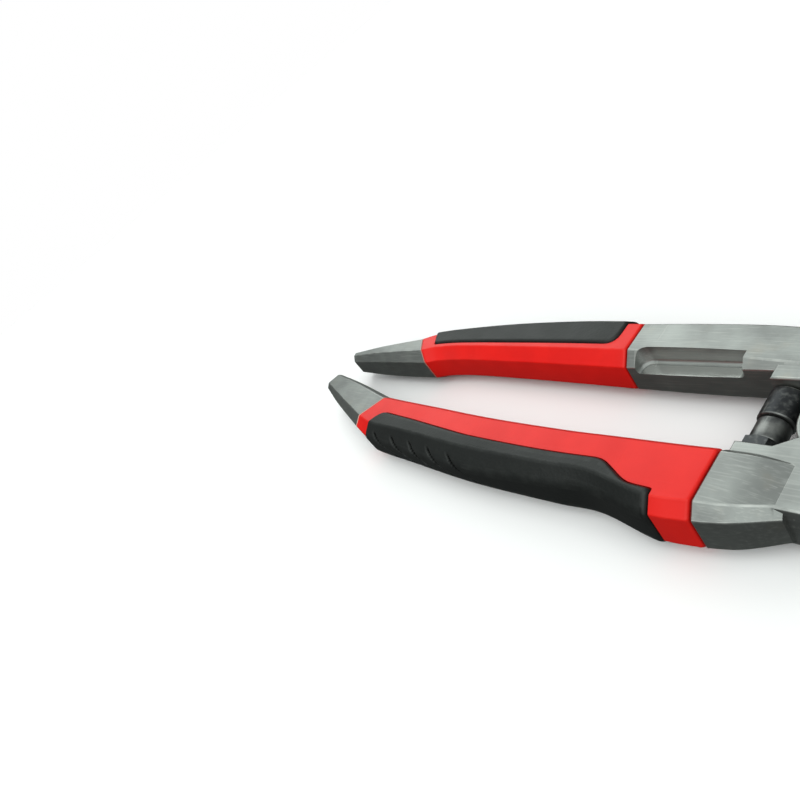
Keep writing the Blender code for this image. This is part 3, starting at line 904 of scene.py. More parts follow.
@dataclass(frozen=True)
class Turning:
    """A lathe profile and the hexagon that is cut into it or round it."""

    rows: tuple[Pair, ...]
    closed: bool = False
    ease: float = 0.35
    use: PrismUse = PrismUse.NONE
    corner: float = 1.0
    prism: Pair = (0.0, 1.0)
    steps: int = 72

    RECIPES: ClassVar[dict[PrismUse, Recipe]] = {}
    WELD: ClassVar[float] = 1e-6

    def recipe(self) -> Recipe:
        """The lathe's tree, made once for each use of the prism.

        Returns:
            A tree that turns a row of points round Z.
        """
        if self.use in self.RECIPES:
            return self.RECIPES[self.use]
        sizes = {"Steps": "Int", "Corner": "Float", "Prism Middle": "Float", "Prism Depth": "Float"}
        tree = Recipe(f"turned_{self.use.name.lower()}", sizes)
        profile = tree.port("Geometry")
        rows = tree.node("GeometryNodeAttributeDomainSize", {"Geometry": profile}, out="Point Count")
        steps = tree.port("Steps")
        grid = tree.node("GeometryNodeMeshGrid", {"Vertices X": steps, "Vertices Y": rows})
        index = tree.node("GeometryNodeInputIndex")
        row = tree.math("MODULO", index, rows)
        turn = tree.math("FLOOR", (index + 0.5) / rows) / (steps - 1.0) * FULL_TURN
        place = tree.node("GeometryNodeInputPosition")
        spot = tree.node(
            "GeometryNodeSampleIndex",
            {"Geometry": profile, "Value": place, "Index": row},
            {"data_type": "FLOAT_VECTOR"},
        )
        radius = tree.node("ShaderNodeSeparateXYZ", {0: spot}, out="X")
        height = tree.node("ShaderNodeSeparateXYZ", {0: spot}, out="Z")
        parts = {
            "X": radius * tree.math("COSINE", turn),
            "Y": radius * tree.math("SINE", turn),
            "Z": height,
        }
        spot = tree.node("ShaderNodeCombineXYZ", parts)
        moved = tree.node("GeometryNodeSetPosition", {"Geometry": grid, "Position": spot})
        values = {"Geometry": moved, "Distance": self.WELD}
        shape = tree.node("GeometryNodeMergeByDistance", values)
        if self.use is not PrismUse.NONE:
            hexagon = tree.node(
                "GeometryNodeMeshCylinder",
                {"Vertices": 6, "Radius": tree.port("Corner"), "Depth": tree.port("Prism Depth")},
            )
            lift = tree.node("ShaderNodeCombineXYZ", {"Z": tree.port("Prism Middle")})
            hexagon = tree.node("GeometryNodeTransform", {"Geometry": hexagon, "Translation": lift})
            pair = {0: shape, 1: hexagon} if self.use is PrismUse.SOCKET else {0: [shape, hexagon]}
            shape = tree.node(
                "GeometryNodeMeshBoolean", pair, {"operation": self.use.value, "solver": "EXACT"}
            )
        tree.close(shape)
        self.RECIPES[self.use] = tree
        return tree

    def build(
        self, bench: Bench, name: str, body: str, node: str, centre: Triple, finish: Finish,
        upright: bool = True,
    ) -> Piece:
        """Turns the piece and puts it on its body.

        Args:
            bench: where it is made.
            name: the piece's name.
            body: the CAD body it rides on.
            node: the CAD node it replaces.
            centre: its middle, drafted.
            finish: its surface.
            upright: whether it is turned round Z, or else round Y.

        Returns:
            The piece, in its place.
        """
        rows = list(self.rows)
        if self.ease:
            rows = rounded(rows, self.ease, 3, self.closed)
        if self.closed:
            rows.append(rows[0])
        mesh = bpy.data.meshes.new(name)
        mesh.from_pydata([(r * MM, 0.0, h * MM) for r, h in rows], [], [])
        made = linked(name, mesh)
        values = {
            "Steps": self.steps + 1,
            "Corner": self.corner * MM,
            "Prism Middle": sum(self.prism) / 2 * MM,
            "Prism Depth": (self.prism[1] - self.prism[0]) * MM,
            "Material": bench.surface(finish),
        }
        self.recipe().run(made, values)
        lay = Matrix.Identity(4) if upright else Matrix.Rotation(math.radians(-90.0), 4, "X")
        bm = bmesh.new()
        bm.from_mesh(made.data)
        bmesh.ops.recalc_face_normals(bm, faces=bm.faces)
        bm.transform(Matrix.Translation(bench.origin + Vector(centre) * MM) @ lay)
        bm.to_mesh(made.data)
        bm.free()
        return bench.deliver(made, body, finish, node)


# ---------------------------------------------------------------- the arms


@dataclass(frozen=True)
class Fits:
    """Gaps and sizes that several sub-assemblies share.

    Half sizes count from the mid-plane, and the tool rests on bolt ends that lie rest below it.
    """

    seam: float = 0.3
    swing: float = 0.5
    lap_gap: float = 0.15
    wall: float = 3.6
    grip_half: float = 7.1
    head_half: float = 5.2
    jaw_half: float = 4.6
    tongue_half: float = 2.1
    rest: float = 7.75
    handle_boss: float = 10.8
    fork_boss: float = 6.6
    tongue_boss: float = 5.6
    pivot_shank: float = 4.0
    toggle_shank: float = 2.75
    handle_arm: float = 18.0
    jaw_arm: float = 34.0
    handle_arm_angle: float = math.radians(55.0)

    @property
    def toggle(self) -> Pair:
        """The toggle bolt's place in (x, u)."""
        angle = self.handle_arm_angle
        return self.handle_arm * math.cos(angle), self.handle_arm * math.sin(angle)

    @property
    def jaw_arm_angle(self) -> float:
        """How steeply the jaw's tail runs, closed."""
        return math.asin(self.toggle[1] / self.jaw_arm)

    @property
    def jaw_bolt(self) -> float:
        """X of the jaw bolt."""
        return self.toggle[0] + self.jaw_arm * math.cos(self.jaw_arm_angle)


FITS = Fits()


@dataclass(frozen=True)
class Station:
    """A section across an arm: where it lies in its zone, and the top flat's two edges."""

    share: float
    skew: float
    inner: float
    outer: float
    half: float
    inner_chamfer: float
    outer_chamfer: float

    FIELDS: ClassVar[tuple[str, ...]] = (
        "skew", "inner", "outer", "half", "inner_chamfer", "outer_chamfer",
    )
    LEAST_CHAMFER: ClassVar[float] = 0.5
    TOP_BAND: ClassVar[float] = 0.3

    def corners(self, grow: float = 0.0) -> Outline:
        """The octagon in (w, z), anticlockwise, w outwards from the flat's inner edge.

        Args:
            grow: how far the outline is moved outwards. One that shrinks a lot starts from wider
                chamfers, so that none of them turns over.

        Returns:
            The eight corners.
        """
        width, half = self.outer - self.inner, self.half
        least = self.LEAST_CHAMFER - grow * (2.0 - math.sqrt(2.0))
        near, far = max(self.inner_chamfer, least), max(self.outer_chamfer, least)
        octagon = [
            (-near, half - near), (-near, near - half), (0.0, -half), (width, -half),
            (width + far, far - half), (width + far, half - far), (width, half), (0.0, half),
        ]
        return offset_outline(octagon, grow) if grow else octagon

    @property
    def slope(self) -> float:
        """The width of an outer chamfer."""
        return self.outer_chamfer * math.sqrt(2.0)

    @property
    def upright(self) -> float:
        """The height of the outer side between its chamfers."""
        return 2 * (self.half - self.outer_chamfer)

    @property
    def full_drop(self) -> float:
        """The whole way down the outer side, over both chamfers."""
        return 2 * self.slope + self.upright

    def drop(self, w: float, z: float) -> float:
        """Measures how far down the outer side a point lies.

        Args:
            w: from the flat's inner edge.
            z: from the mid-plane.

        Returns:
            The way from the top flat's outer edge, or -1 on the top flat.
        """
        far, half = self.outer_chamfer, self.half
        if z >= half - far:
            outside = w > self.outer - self.inner - self.TOP_BAND
            return self.slope * (half - z) / far if outside else -1.0
        down = min(self.slope + (half - far - z), self.slope + self.upright)
        return down + max(0.0, far - half - z) * math.sqrt(2.0)


class Zone(Enum):
    """The three zones along an arm."""

    NECK = 0
    GRIP = 1
    SHOULDER = 2


@dataclass(frozen=True)
class PadShape:
    """The soft pad let into a grip's outer side.

    Shares say where it starts and ends along the grip, and a row of split says how far its edge lies
    from the top flat's inner edge at a share. A cutter for its recess is a little wider. Its rows
    run at shares of a flat, and row_counts are those on a chamfer, the outer side and a corner.
    """

    shares: Pair
    split: tuple[Pair, ...]
    start_round: float
    end_round: float
    recess: float = 1.6
    proud: float = 0.65
    sunk: float = -0.45
    roll: float = 0.85
    ease: float = 3.2
    soften: tuple[float, ...] = (-1.6, -0.8, 0.0, 0.8, 1.6)
    end_columns: tuple[float, ...] = (0.0, 0.08, 0.2, 0.38, 0.6, 0.85)
    flat_rows: tuple[float, ...] = (0.0, 0.02, 0.06, 0.12, 0.2, 0.34, 0.6)
    row_counts: tuple[int, int, int] = (10, 9, 4)
    end_run: float = 1.3
    grooved_step: float = 0.36
    plain_step: float = 1.0
    cutter_step: float = 1.5
    cutter_fit: float = 0.22
    cutter_height: float = 3.0
    corner_fade: float = 2.6


@dataclass(frozen=True)
class Relief:
    """The half-lap relief past a grip, rounded at its foot."""

    setback: float = 3.0
    length: float = 26.0
    reach: float = 8.0
    corner: float = 3.0
    floor: float = 1.9
    foot: float = 1.1

    def cutter(self, grip_end: float, outer: float) -> Solid:
        """Builds what is cut away.

        Args:
            grip_end: where the grip ends.
            outer: how far out the arm's top flat reaches there.

        Returns:
            The solid.
        """
        start, rim = grip_end + self.setback, outer - self.reach
        end, clear = start + self.length, rim - 2 * FITS.grip_half
        outline = [(start, clear)]
        outline += arc((start + self.corner, rim - self.corner), self.corner, 180.0, 90.0, 10.0)
        outline += [(end, rim), (end, clear)]
        points = anticlockwise(outline)
        levels = [(self.floor + z, grow) for z, grow in quarter_round(self.foot, 3)]
        levels.append((2.0 * FITS.grip_half, 0.0))
        return loft([[(x, u, z) for x, u in offset_outline(points, grow)] for z, grow in levels])


@dataclass(frozen=True)
class GrooveShape:
    """Curved finger grooves down a pad's outer side.

    A groove runs sweep along the pad on its way down, bend says how late, and steep and gentle are
    the widths of its two walls. It fades in from top down, and the last ones are shallower.
    """

    first: float = 3.8
    pitch: float = 9.2
    count: int = 5
    sweep: float = 20.0
    bend: float = 1.5
    depth: float = 1.1
    steep: float = 0.7
    gentle: float = 0.9
    top: float = 2.4
    fade: float = 2.0
    weakening: ClassVar[float] = 0.5
    weak_shares: ClassVar[Pair] = (0.6, 1.0)
    foot_fade: ClassVar[Pair] = (0.2, 1.2)
    painted_shade_ends: ClassVar[Pair] = (0.0, 0.4)

    def recipe(self) -> Recipe:
        """The tree that presses the grooves into a pad.

        Returns:
            A tree that moves the pad's skin inwards along its stored directions, and stores where the
            pad's finish paints shade into the grooves.
        """
        names = (
            "First", "Pitch", "Count", "Sweep", "Bend", "Depth",
            "Steep", "Gentle", "Top", "Fade", "Drop",
        )
        tree = Recipe("finger_grooves", {name: "Float" for name in names})

        def stored(name: str, kind: str) -> Wire:
            """An attribute of the pad."""
            return tree.node("GeometryNodeInputNamedAttribute", {"Name": name}, {"data_type": kind})

        along, drop = stored("along", "FLOAT"), stored("drop", "FLOAT")
        full = tree.port("Drop")
        low = tree.math("MAXIMUM", drop / full, 0.0)
        turn = along - tree.port("First") - tree.port("Sweep") * low ** tree.port("Bend")
        turn = turn / tree.port("Pitch")
        nearest = tree.math("ROUND", turn)
        offset = (turn - nearest) * tree.port("Pitch")
        walls = offset / tree.port("Gentle"), offset * -1.0 / tree.port("Steep")
        distance = tree.math("MAXIMUM", *walls)
        inside = tree.math("GREATER_THAN", nearest, -0.5)
        inside = inside * tree.math("LESS_THAN", nearest, tree.port("Count") - 0.5)
        last = tree.port("Count") - 1.0
        weaker = 1.0 - self.weakening * tree.ramp(nearest / last, *self.weak_shares)
        fade = tree.ramp((drop - tree.port("Top")) / tree.port("Fade"), 0.0, 1.0)
        fade = fade * tree.ramp((full - drop) / tree.port("Fade"), *self.foot_fade)
        groove = (1.0 - tree.ramp(distance, 0.0, 1.0)) * inside * fade * weaker
        push = groove * tree.port("Depth") * -1.0
        values = {0: stored("outwards", "FLOAT_VECTOR"), "Scale": push}
        offset = tree.node("ShaderNodeVectorMath", values, {"operation": "SCALE"})
        values = {"Geometry": tree.port("Geometry"), "Offset": offset}
        pressed = tree.node("GeometryNodeSetPosition", values)
        # painted shade: where the pad's finish turns the grooves near-black
        painted_shade_mask = tree.ramp(groove, *self.painted_shade_ends)
        marked = tree.node(
            "GeometryNodeStoreNamedAttribute",
            {"Geometry": pressed, "Name": "groove", "Value": painted_shade_mask},
            {"data_type": "FLOAT", "domain": "POINT"},
        )
        tree.close(marked)
        return tree

    def press(
        self, pad: Piece, start: float, drop: float, material: bpy.types.Material
    ) -> None:
        """Presses the grooves into a pad.

        Args:
            pad: the pad, with its along, drop and outwards attributes.
            start: where the pad starts, in drafted millimetres.
            drop: how far it is down the pad's outer side.
            material: the pad's material.
        """
        values = {
            "First": start + self.first, "Pitch": self.pitch, "Count": float(self.count),
            "Sweep": self.sweep, "Bend": self.bend, "Depth": self.depth * MM,
            "Steep": self.steep, "Gentle": self.gentle, "Top": self.top,
            "Fade": self.fade, "Drop": drop, "Material": material,
        }
        self.recipe().run(pad, values)


@dataclass
class Handle:
    """One handle: forging, hard shell, pale ring and soft pad; the ring's pale colour is a painted
    highlight on the shell's rounded end.

    A row of the ring's rows is how far a ring of it lies before the shell, and how far it grows.
    Turns are in degrees, and tail_swing is how far out the fork lets the tail of a jaw turn.
    """

    name: str
    side: int
    body: str
    neck_length: float
    grip_length: float
    stations: tuple[tuple[Station, ...], ...]
    pad: PadShape
    grooves: GrooveShape | None = None
    relief: Relief | None = None
    tip: float = -190.0
    shoulder_end: float = -6.0
    ease: float = 0.8
    neck_ease: float = 0.7
    crease: float = 0.1
    ring_step: float = 1.2
    tang_step: float = 4.0
    shell_round: float = 0.55
    nose_round: float = 0.9
    shoulder_round: float = 0.4
    # the pale ring's rows and depth; its pale colour is a painted highlight on the shell's end
    highlight_ring_rows: tuple[Pair, ...] = ((0.27, -0.10), (0.15, 0.0), (0.03, -0.10))
    highlight_ring_depth: float = 1.4
    fork_turns: Pair = (82.0, -40.0)
    boss_turns: Pair = (26.0, -212.0)
    tail_swing: float = 5.0
    plate_ease: float = 0.5
    brow_run: float = 4.0
    brow_rise: float = 1.0
    pad_sharp: float = 50.0

    def ends(self, zone: Zone) -> Pair:
        """Finds where a zone lies along X.

        Args:
            zone: the zone.

        Returns:
            Its start and end.
        """
        neck = self.tip + self.neck_length
        grip = neck + self.grip_length
        return ((self.tip, neck), (neck, grip), (grip, self.shoulder_end))[zone.value]

    def station(self, zone: Zone, x: float) -> Station:
        """The section at a place, on a smooth curve through the zone's stations.

        Args:
            zone: the zone.
            x: the place.

        Returns:
            The section there.
        """
        start, end = self.ends(zone)
        stations = self.stations[zone.value]
        places = [start + s.share * (end - start) for s in stations]
        last = len(places) - 1
        index = 0
        while index < last - 1 and x > places[index + 1]:
            index += 1
        around = [min(max(index + step, 0), last) for step in (-1, 0, 1, 2)]
        span = places[around[2]] - places[around[1]]
        t = (x - places[around[1]]) / span
        weights = (2 * t**3 - 3 * t**2 + 1, t**3 - 2 * t**2 + t, 3 * t**2 - 2 * t**3, t**3 - t**2)
        runs = [places[around[b]] - places[around[b - 2]] for b in (2, 3)]
        fields = []
        for name in Station.FIELDS:
            v = [getattr(stations[i], name) for i in around]
            slopes = [(v[b] - v[b - 2]) / run * span for b, run in zip((2, 3), runs)]
            fields.append(sum(w * p for w, p in zip(weights, (v[1], slopes[0], v[2], slopes[1]))))
        return Station(0.0, *fields)

    def place(self, station: Station, x: float, points: Iterable[Pair]) -> list[Vector]:
        """Turns points across the arm into drafted points.

        Args:
            station: the section they lie on.
            x: its place along the arm.
            points: in (w, z).

        Returns:
            The drafted points.
        """
        inner = Vector((x + station.skew / 2, station.inner * self.side, 0.0))
        outer = Vector((x - station.skew / 2, station.outer * self.side, 0.0))
        across = (outer - inner) / (station.outer - station.inner)
        return [inner + across * w + Vector((0.0, 0.0, z)) for w, z in points]

    def ring(
        self, zone: Zone, x: float, grow: float = 0.0, ease: float | None = None
    ) -> list[Vector]:
        """Drafts an eased octagon across the arm.

        Args:
            zone: the zone whose stations it follows.
            x: its place.
            grow: how far it is moved outwards.
            ease: the radius of its corners, or None for the shell's.

        Returns:
            The ring.
        """
        station = self.station(zone, x)
        outline = rounded(station.corners(grow), self.ease if ease is None else ease)
        return self.place(station, x, outline)

    def split(self, x: float) -> float:
        """Finds how far the pad's edge lies from the top flat's inner edge, its bends softened.

        Args:
            x: the place.

        Returns:
            The distance.
        """
        start, end = self.ends(Zone.GRIP)
        shares = [(x + step - start) / (end - start) for step in self.pad.soften]
        return sum(linear(self.pad.split, min(max(s, 0.0), 1.0)) for s in shares) / len(shares)

    # -- shell

    def sleeve(self, bench: Bench, name: str, rows: Sequence[Pair], depth: float) -> Piece:
        """A tube round the grip.

        Args:
            bench: where it is made.
            name: what it is called, after the handle's name.
            rows: how far along each ring lies, and how far its outside grows.
            depth: how far its inside lies under the shell's surface.

        Returns:
            The tube.
        """
        outside = [self.ring(Zone.GRIP, x, grow) for x, grow in rows]
        inside = [self.ring(Zone.GRIP, x, -depth) for x, _ in reversed(rows)]
        return bench.raw(f"{self.name}_{name}", loft(outside + inside, tube=True))

    def build_shell(self, bench: Bench, finish: Finish) -> Piece:
        """The hard shell, eased at both ends, with the pad's recess cut into it.

        Args:
            bench: where it is made.
            finish: its surface.

        Returns:
            The shell.
        """
        start, end = self.ends(Zone.GRIP)
        lip = quarter_round(self.shell_round, 3)[:-1]
        middle = spaced(start + self.shell_round, end - self.shell_round, self.ring_step)
        rows = [(start + run, grow) for run, grow in lip]
        rows += [(x, 0.0) for x in middle]
        rows += [(end - run, grow) for run, grow in reversed(lip)]
        shell = self.sleeve(bench, "shell", rows, FITS.wall)
        pad = self.pad
        recess = self.pad_solid(pad.recess, pad.cutter_step, pad.cutter_fit, pad.cutter_height)
        bench.carve(shell, [recess])
        return bench.deliver(shell, self.body, finish, f"{self.name}_grip_shell")

    def build_highlight_ring(self, bench: Bench, finish: Finish) -> Piece:
        """A pale ring between the bare neck and the shell; its pale colour is a painted highlight on
        the shell's rounded end.

        Args:
            bench: where it is made.
            finish: its surface.

        Returns:
            The collar.
        """
        start = self.ends(Zone.GRIP)[0]
        rows = [(start - back, grow) for back, grow in self.highlight_ring_rows]
        highlight_ring = self.sleeve(bench, "highlight_ring", rows, self.highlight_ring_depth)
        return bench.deliver(highlight_ring, self.body, finish, None)

    # -- pad

    def pad_rows(self) -> list[tuple[int, float, bool]]:
        """Lists the rows across a pad, close together near its edges.

        Returns:
            Which side or corner each lies on, how far along it, and whether it is a corner.
        """
        flat, (chamfer, upright, corner) = self.pad.flat_rows, self.pad.row_counts
        sides = (flat, chamfer, upright, chamfer, tuple(1.0 - share for share in reversed(flat)))
        rows: list[tuple[int, float, bool]] = []
        for index, side in enumerate(sides):
            shares = side if isinstance(side, tuple) else tuple(k / side for k in range(1, side))
            rows += [(index, share, False) for share in shares]
            if index < len(sides) - 1:
                rows += [(index, k / corner, True) for k in range(corner + 1)]
        return rows

    def pad_spot(
        self, x: float, row: tuple[int, float, bool], lift: float, margin: float
    ) -> tuple[Pair, Pair]:
        """A point across the pad.

        Args:
            x: the place along the arm.
            row: as pad_rows gives it.
            lift: its height over the shell's surface.
            margin: how far the pad's edge is moved onto the shell.

        Returns:
            The point in (w, z), and the outward direction there.
        """
        station = self.station(Zone.GRIP, x)
        edge = self.split(x) - margin
        outer = station.corners()[3:7]
        corners = [Vector(p) for p in ((edge, -station.half), *outer, (edge, station.half))]
        index, share, at_corner = row
        turn = math.radians(45.0)
        least = (self.ease, self.pad.ease, self.pad.ease, self.ease)
        eases = [0.0, *(max(ease, self.crease - lift) for ease in least), 0.0]
        tangents = [ease * math.tan(turn / 2) for ease in eases]
        along = (corners[index + 1] - corners[index]).normalized()
        normal = Vector((along.y, -along.x))
        if not at_corner:
            start = corners[index] + along * tangents[index]
            end = corners[index + 1] - along * tangents[index + 1]
            spot = start.lerp(end, share) + normal * lift
            return tuple(spot), tuple(normal)
        ease = eases[index + 1]
        centre = corners[index + 1] - along * tangents[index + 1] - normal * ease
        swing = turn * share
        cos, sin = math.cos(swing), math.sin(swing)
        out = Vector((normal.x * cos - normal.y * sin, normal.x * sin + normal.y * cos))
        return tuple(centre + out * (ease + lift)), tuple(out)

    def pad_columns(self, step: float, margin: float, rolled: bool) -> list[float]:
        """Lists the places of a pad's columns.

        Args:
            step: between them.
            margin: how much longer than the pad the row of them is, at each end.
            rolled: whether they crowd at the ends, for the pad's rolled edges.

        Returns:
            The places along the arm.
        """
        start, end = self.ends(Zone.GRIP)
        first = start + self.pad.shares[0] * (end - start) - margin
        last = start + self.pad.shares[1] * (end - start) + margin
        close = self.pad.end_columns if rolled else (0.0,)
        columns = [first + run for run in close]
        columns += spaced(first + self.pad.end_run, last - self.pad.end_run, step)
        return columns + [last - run for run in reversed(close)]

    def pad_solid(
        self, depth: float, step: float, margin: float = 0.0, height: float | None = None
    ) -> Solid:
        """The pad, or the cutter for its recess.

        Args:
            depth: how far its inner skin lies under the shell's surface.
            step: between its columns.
            margin: how much wider it is than the pad.
            height: a flat outer skin for a cutter, or None for the pad's own rolled edges.

        Returns:
            The solid, whose outer skin stores its place along the arm, its drop and its way out.
        """
        shape, rows = self.pad, self.pad_rows()
        columns = self.pad_columns(step, margin, height is None)
        bm = bmesh.new()
        along_layer = bm.verts.layers.float.new("along")
        drop_layer = bm.verts.layers.float.new("drop")
        out_layer = bm.verts.layers.float_vector.new("outwards")
        skins: list[list[list[bmesh.types.BMVert]]] = [[], []]
        for column in columns:
            station = self.station(Zone.GRIP, column)
            lines: list[list[bmesh.types.BMVert]] = [[], []]
            for row in rows:
                (w, z), _ = self.pad_spot(column, row, 0.0, margin)
                on_flat = row[0] in (0, 4) and not row[2]
                inward = w - self.split(column) + margin if on_flat else math.inf
                x, run0, run1 = self.shifted(column, columns[0], columns[-1], inward)
                lift = height
                if lift is None:
                    rise = math.prod(self.roll(run) for run in (inward, run0, run1))
                    lift = shape.sunk + (shape.proud - shape.sunk) * rise
                for line, level in zip(lines, (lift, -depth)):
                    spot, out = self.pad_spot(x, row, level, margin)
                    here = self.station(Zone.GRIP, x)
                    line.append(bm.verts.new(self.place(here, x, [spot])[0]))
                    if line is lines[0]:
                        line[-1][along_layer] = x
                        line[-1][drop_layer] = station.drop(w, z)
                        line[-1][out_layer] = Vector((0.0, out[0] * self.side, out[1]))
            for skin, line in zip(skins, lines):
                skin.append(line)
        self.close_skins(bm, skins)
        return bm

    def shifted(
        self, column: float, first: float, last: float, inward: float
    ) -> tuple[float, float, float]:
        """Bends a pad's columns round its rounded corners.

        Args:
            column: the column's place.
            first: where the pad starts.
            last: where it ends.
            inward: how far the row lies from the pad's edge.

        Returns:
            The point's place, and its distances from the pad's start and end.
        """
        shape = self.pad
        insets = []
        for radius in (shape.start_round, shape.end_round):
            short = max(radius - inward, 0.0)
            insets.append(radius - math.sqrt(max(radius * radius - short * short, 0.0)))
        fades = [
            max(0.0, 1.0 - run / (shape.corner_fade * radius))
            for run, radius in ((column - first, shape.start_round), (last - column, shape.end_round))
        ]
        x = column + insets[0] * fades[0] - insets[1] * fades[1]
        return x, x - first - insets[0], last - insets[1] - x

    def roll(self, distance: float) -> float:
        """How high the pad stands at a distance from its edge, from 0 to 1."""
        part = min(max(distance / self.pad.roll, 0.0), 1.0)
        return math.sqrt(1.0 - (1.0 - part) ** 2)

    @staticmethod
    def close_skins(bm: Solid, skins: list[list[list[bmesh.types.BMVert]]]) -> None:
        """Joins two skins of the same grid into a closed solid.

        Args:
            bm: the solid.
            skins: the outer and the inner skin, as lines of vertices.
        """
        for skin in skins:
            for before, after in zip(skin, skin[1:]):
                for i in range(len(before) - 1):
                    bm.faces.new((before[i], before[i + 1], after[i + 1], after[i]))
        rims = []
        for grid in skins:
            rim = list(grid[0]) + [line[-1] for line in grid[1:-1]]
            rim += list(reversed(grid[-1])) + [line[0] for line in reversed(grid[1:-1])]
            rims.append(rim)
        for i in range(len(rims[0])):
            j = (i + 1) % len(rims[0])
            bm.faces.new((rims[0][i], rims[0][j], rims[1][j], rims[1][i]))
        bmesh.ops.recalc_face_normals(bm, faces=bm.faces)

    def build_pad(self, bench: Bench, finish: Finish) -> Piece:
        """The soft pad, with its grooves where it has them.

        Args:
            bench: where it is made.
            finish: its surface.

        Returns:
            The pad.
        """
        step = self.pad.grooved_step if self.grooves else self.pad.plain_step
        pad = bench.raw(f"{self.name}_pad", self.pad_solid(self.pad.recess - FITS.seam, step))
        if self.grooves:
            columns = self.pad_columns(step, 0.0, True)
            drop = self.station(Zone.GRIP, columns[-1]).full_drop
            self.grooves.press(pad, columns[0], drop, bench.surface(finish))
        return bench.deliver(pad, self.body, finish, f"{self.name}_grip_pad", self.pad_sharp)

    # -- forging

    def forging_rows(self) -> list[tuple[Zone, float, float]]:
        """Lists the rings of the forging's arm.

        Returns:
            The zone, the place and the growth of each, from the tip to the shoulder's end.
        """
        tang = -(FITS.wall + FITS.seam)
        (start, end), grip_end = self.ends(Zone.NECK), self.ends(Zone.GRIP)[1]
        shoulder = grip_end + FITS.seam
        nose = quarter_round(self.nose_round, 4)[:-1]
        neck = spaced(start + self.nose_round, end - FITS.seam, self.ring_step)
        inside = spaced(end + self.tang_step, grip_end - self.tang_step, self.tang_step)
        ahead = spaced(shoulder + self.ring_step, self.shoulder_end, self.ring_step)
        rows = [(Zone.NECK, start + run, grow) for run, grow in nose]
        rows += [(Zone.NECK, x, 0.0) for x in neck]
        rows += [(Zone.GRIP, x, tang) for x in (end, *inside)]
        rows += [(Zone.SHOULDER, shoulder, grow) for grow in (tang, -self.shoulder_round)]
        return rows + [(Zone.SHOULDER, x, 0.0) for x in (shoulder + self.shoulder_round, *ahead)]

    def build_forging(self, bench: Bench, finish: Finish, stop: StopSizes) -> Piece:
        """Reaming tip, neck, tang, shoulder, pivot ear and toggle fork in one forging.

        Args:
            bench: where it is made.
            finish: its surface.
            stop: the stop's sizes, for its flat.

        Returns:
            The forging.
        """
        rings = [self.ring(zone, x, grow, self.neck_ease) for zone, x, grow in self.forging_rows()]
        forging = bench.raw(f"{self.name}_forging", loft(rings))
        bench.carve(forging, [self.head_plate(stop)], join=True)
        bench.carve(forging, self.head_cuts())
        levels = [-self.side * FITS.lap_gap] + ([self.relief.floor] if self.relief else [])
        mark_machined(
            forging,
            bench,
            lambda middle, normal: any(lies_at(middle, normal, level) for level in levels),
        )
        return bench.deliver(forging, self.body, finish, f"{self.name}_handle_forging")

    def head_plate(self, stop: StopSizes) -> Solid:
        """The plate that holds the pivot ear, the stop's flat and the toggle fork.

        Args:
            stop: the stop's sizes.

        Returns:
            The plate.
        """
        toggle = FITS.toggle
        back = -stop.setback - stop.nut_flats / 2 + 2 * FITS.swing
        back = max(back, self.ends(Zone.GRIP)[1] + 2 * FITS.seam)
        brow = toggle[1] + FITS.fork_boss
        outline = [(back, stop.face), (back, brow - self.brow_rise), (back + self.brow_run, brow)]
        outline += arc(toggle, FITS.fork_boss, *self.fork_turns)
        outline += arc((0.0, 0.0), FITS.handle_boss, *self.boss_turns)
        outline += [(-stop.setback + stop.nut_flats / 2 + FITS.swing, stop.face)]
        return plate(outline, -FITS.head_half, FITS.head_half, self.plate_ease, self.side)

    def head_cuts(self) -> list[Solid]:
        """Lists what is cut from the forging.

        Returns:
            Half lap, fork slot, bores and, on the upper forging, the relief.
        """
        side, toggle = self.side, FITS.toggle
        reach = 2 * FITS.grip_half
        lap = sorted((-side * FITS.lap_gap, side * reach))
        cuts = [disc((0.0, 0.0), FITS.handle_boss + FITS.swing, *lap), self.fork_slot()]
        cuts.append(disc((0.0, 0.0), FITS.pivot_shank + FITS.seam, -reach, reach))
        bolt = (toggle[0], toggle[1] * side)
        cuts.append(disc(bolt, FITS.toggle_shank + FITS.seam, -reach, reach, 6.0))
        if self.relief:
            grip_end = self.ends(Zone.GRIP)[1]
            outer = self.station(Zone.SHOULDER, grip_end + self.relief.setback).outer
            cuts.append(self.relief.cutter(grip_end, outer))
        return cuts

    def fork_slot(self) -> Solid:
        """The slot that the jaw's tail sweeps.

        Returns:
            The solid to cut away.
        """
        toggle = Vector(FITS.toggle)
        radius = FITS.tongue_boss + 2 * FITS.swing - FITS.seam / 2
        closed, opened = -math.degrees(FITS.jaw_arm_angle), self.tail_swing
        outline = arc(tuple(toggle), radius, opened + 90.0, closed + 270.0)
        for turn, across in ((closed, -90.0), (opened, 90.0)):
            along = Vector((math.cos(math.radians(turn)), math.sin(math.radians(turn))))
            sideways = math.radians(turn + across)
            edge = toggle + radius * Vector((math.cos(sideways), math.sin(sideways)))
            outline.append(tuple(edge + along * FITS.jaw_arm / 2))
        half = FITS.tongue_half + FITS.seam
        return plate(outline, -half, half, 0.0, self.side)


# ---------------------------------------------------------------- the jaws


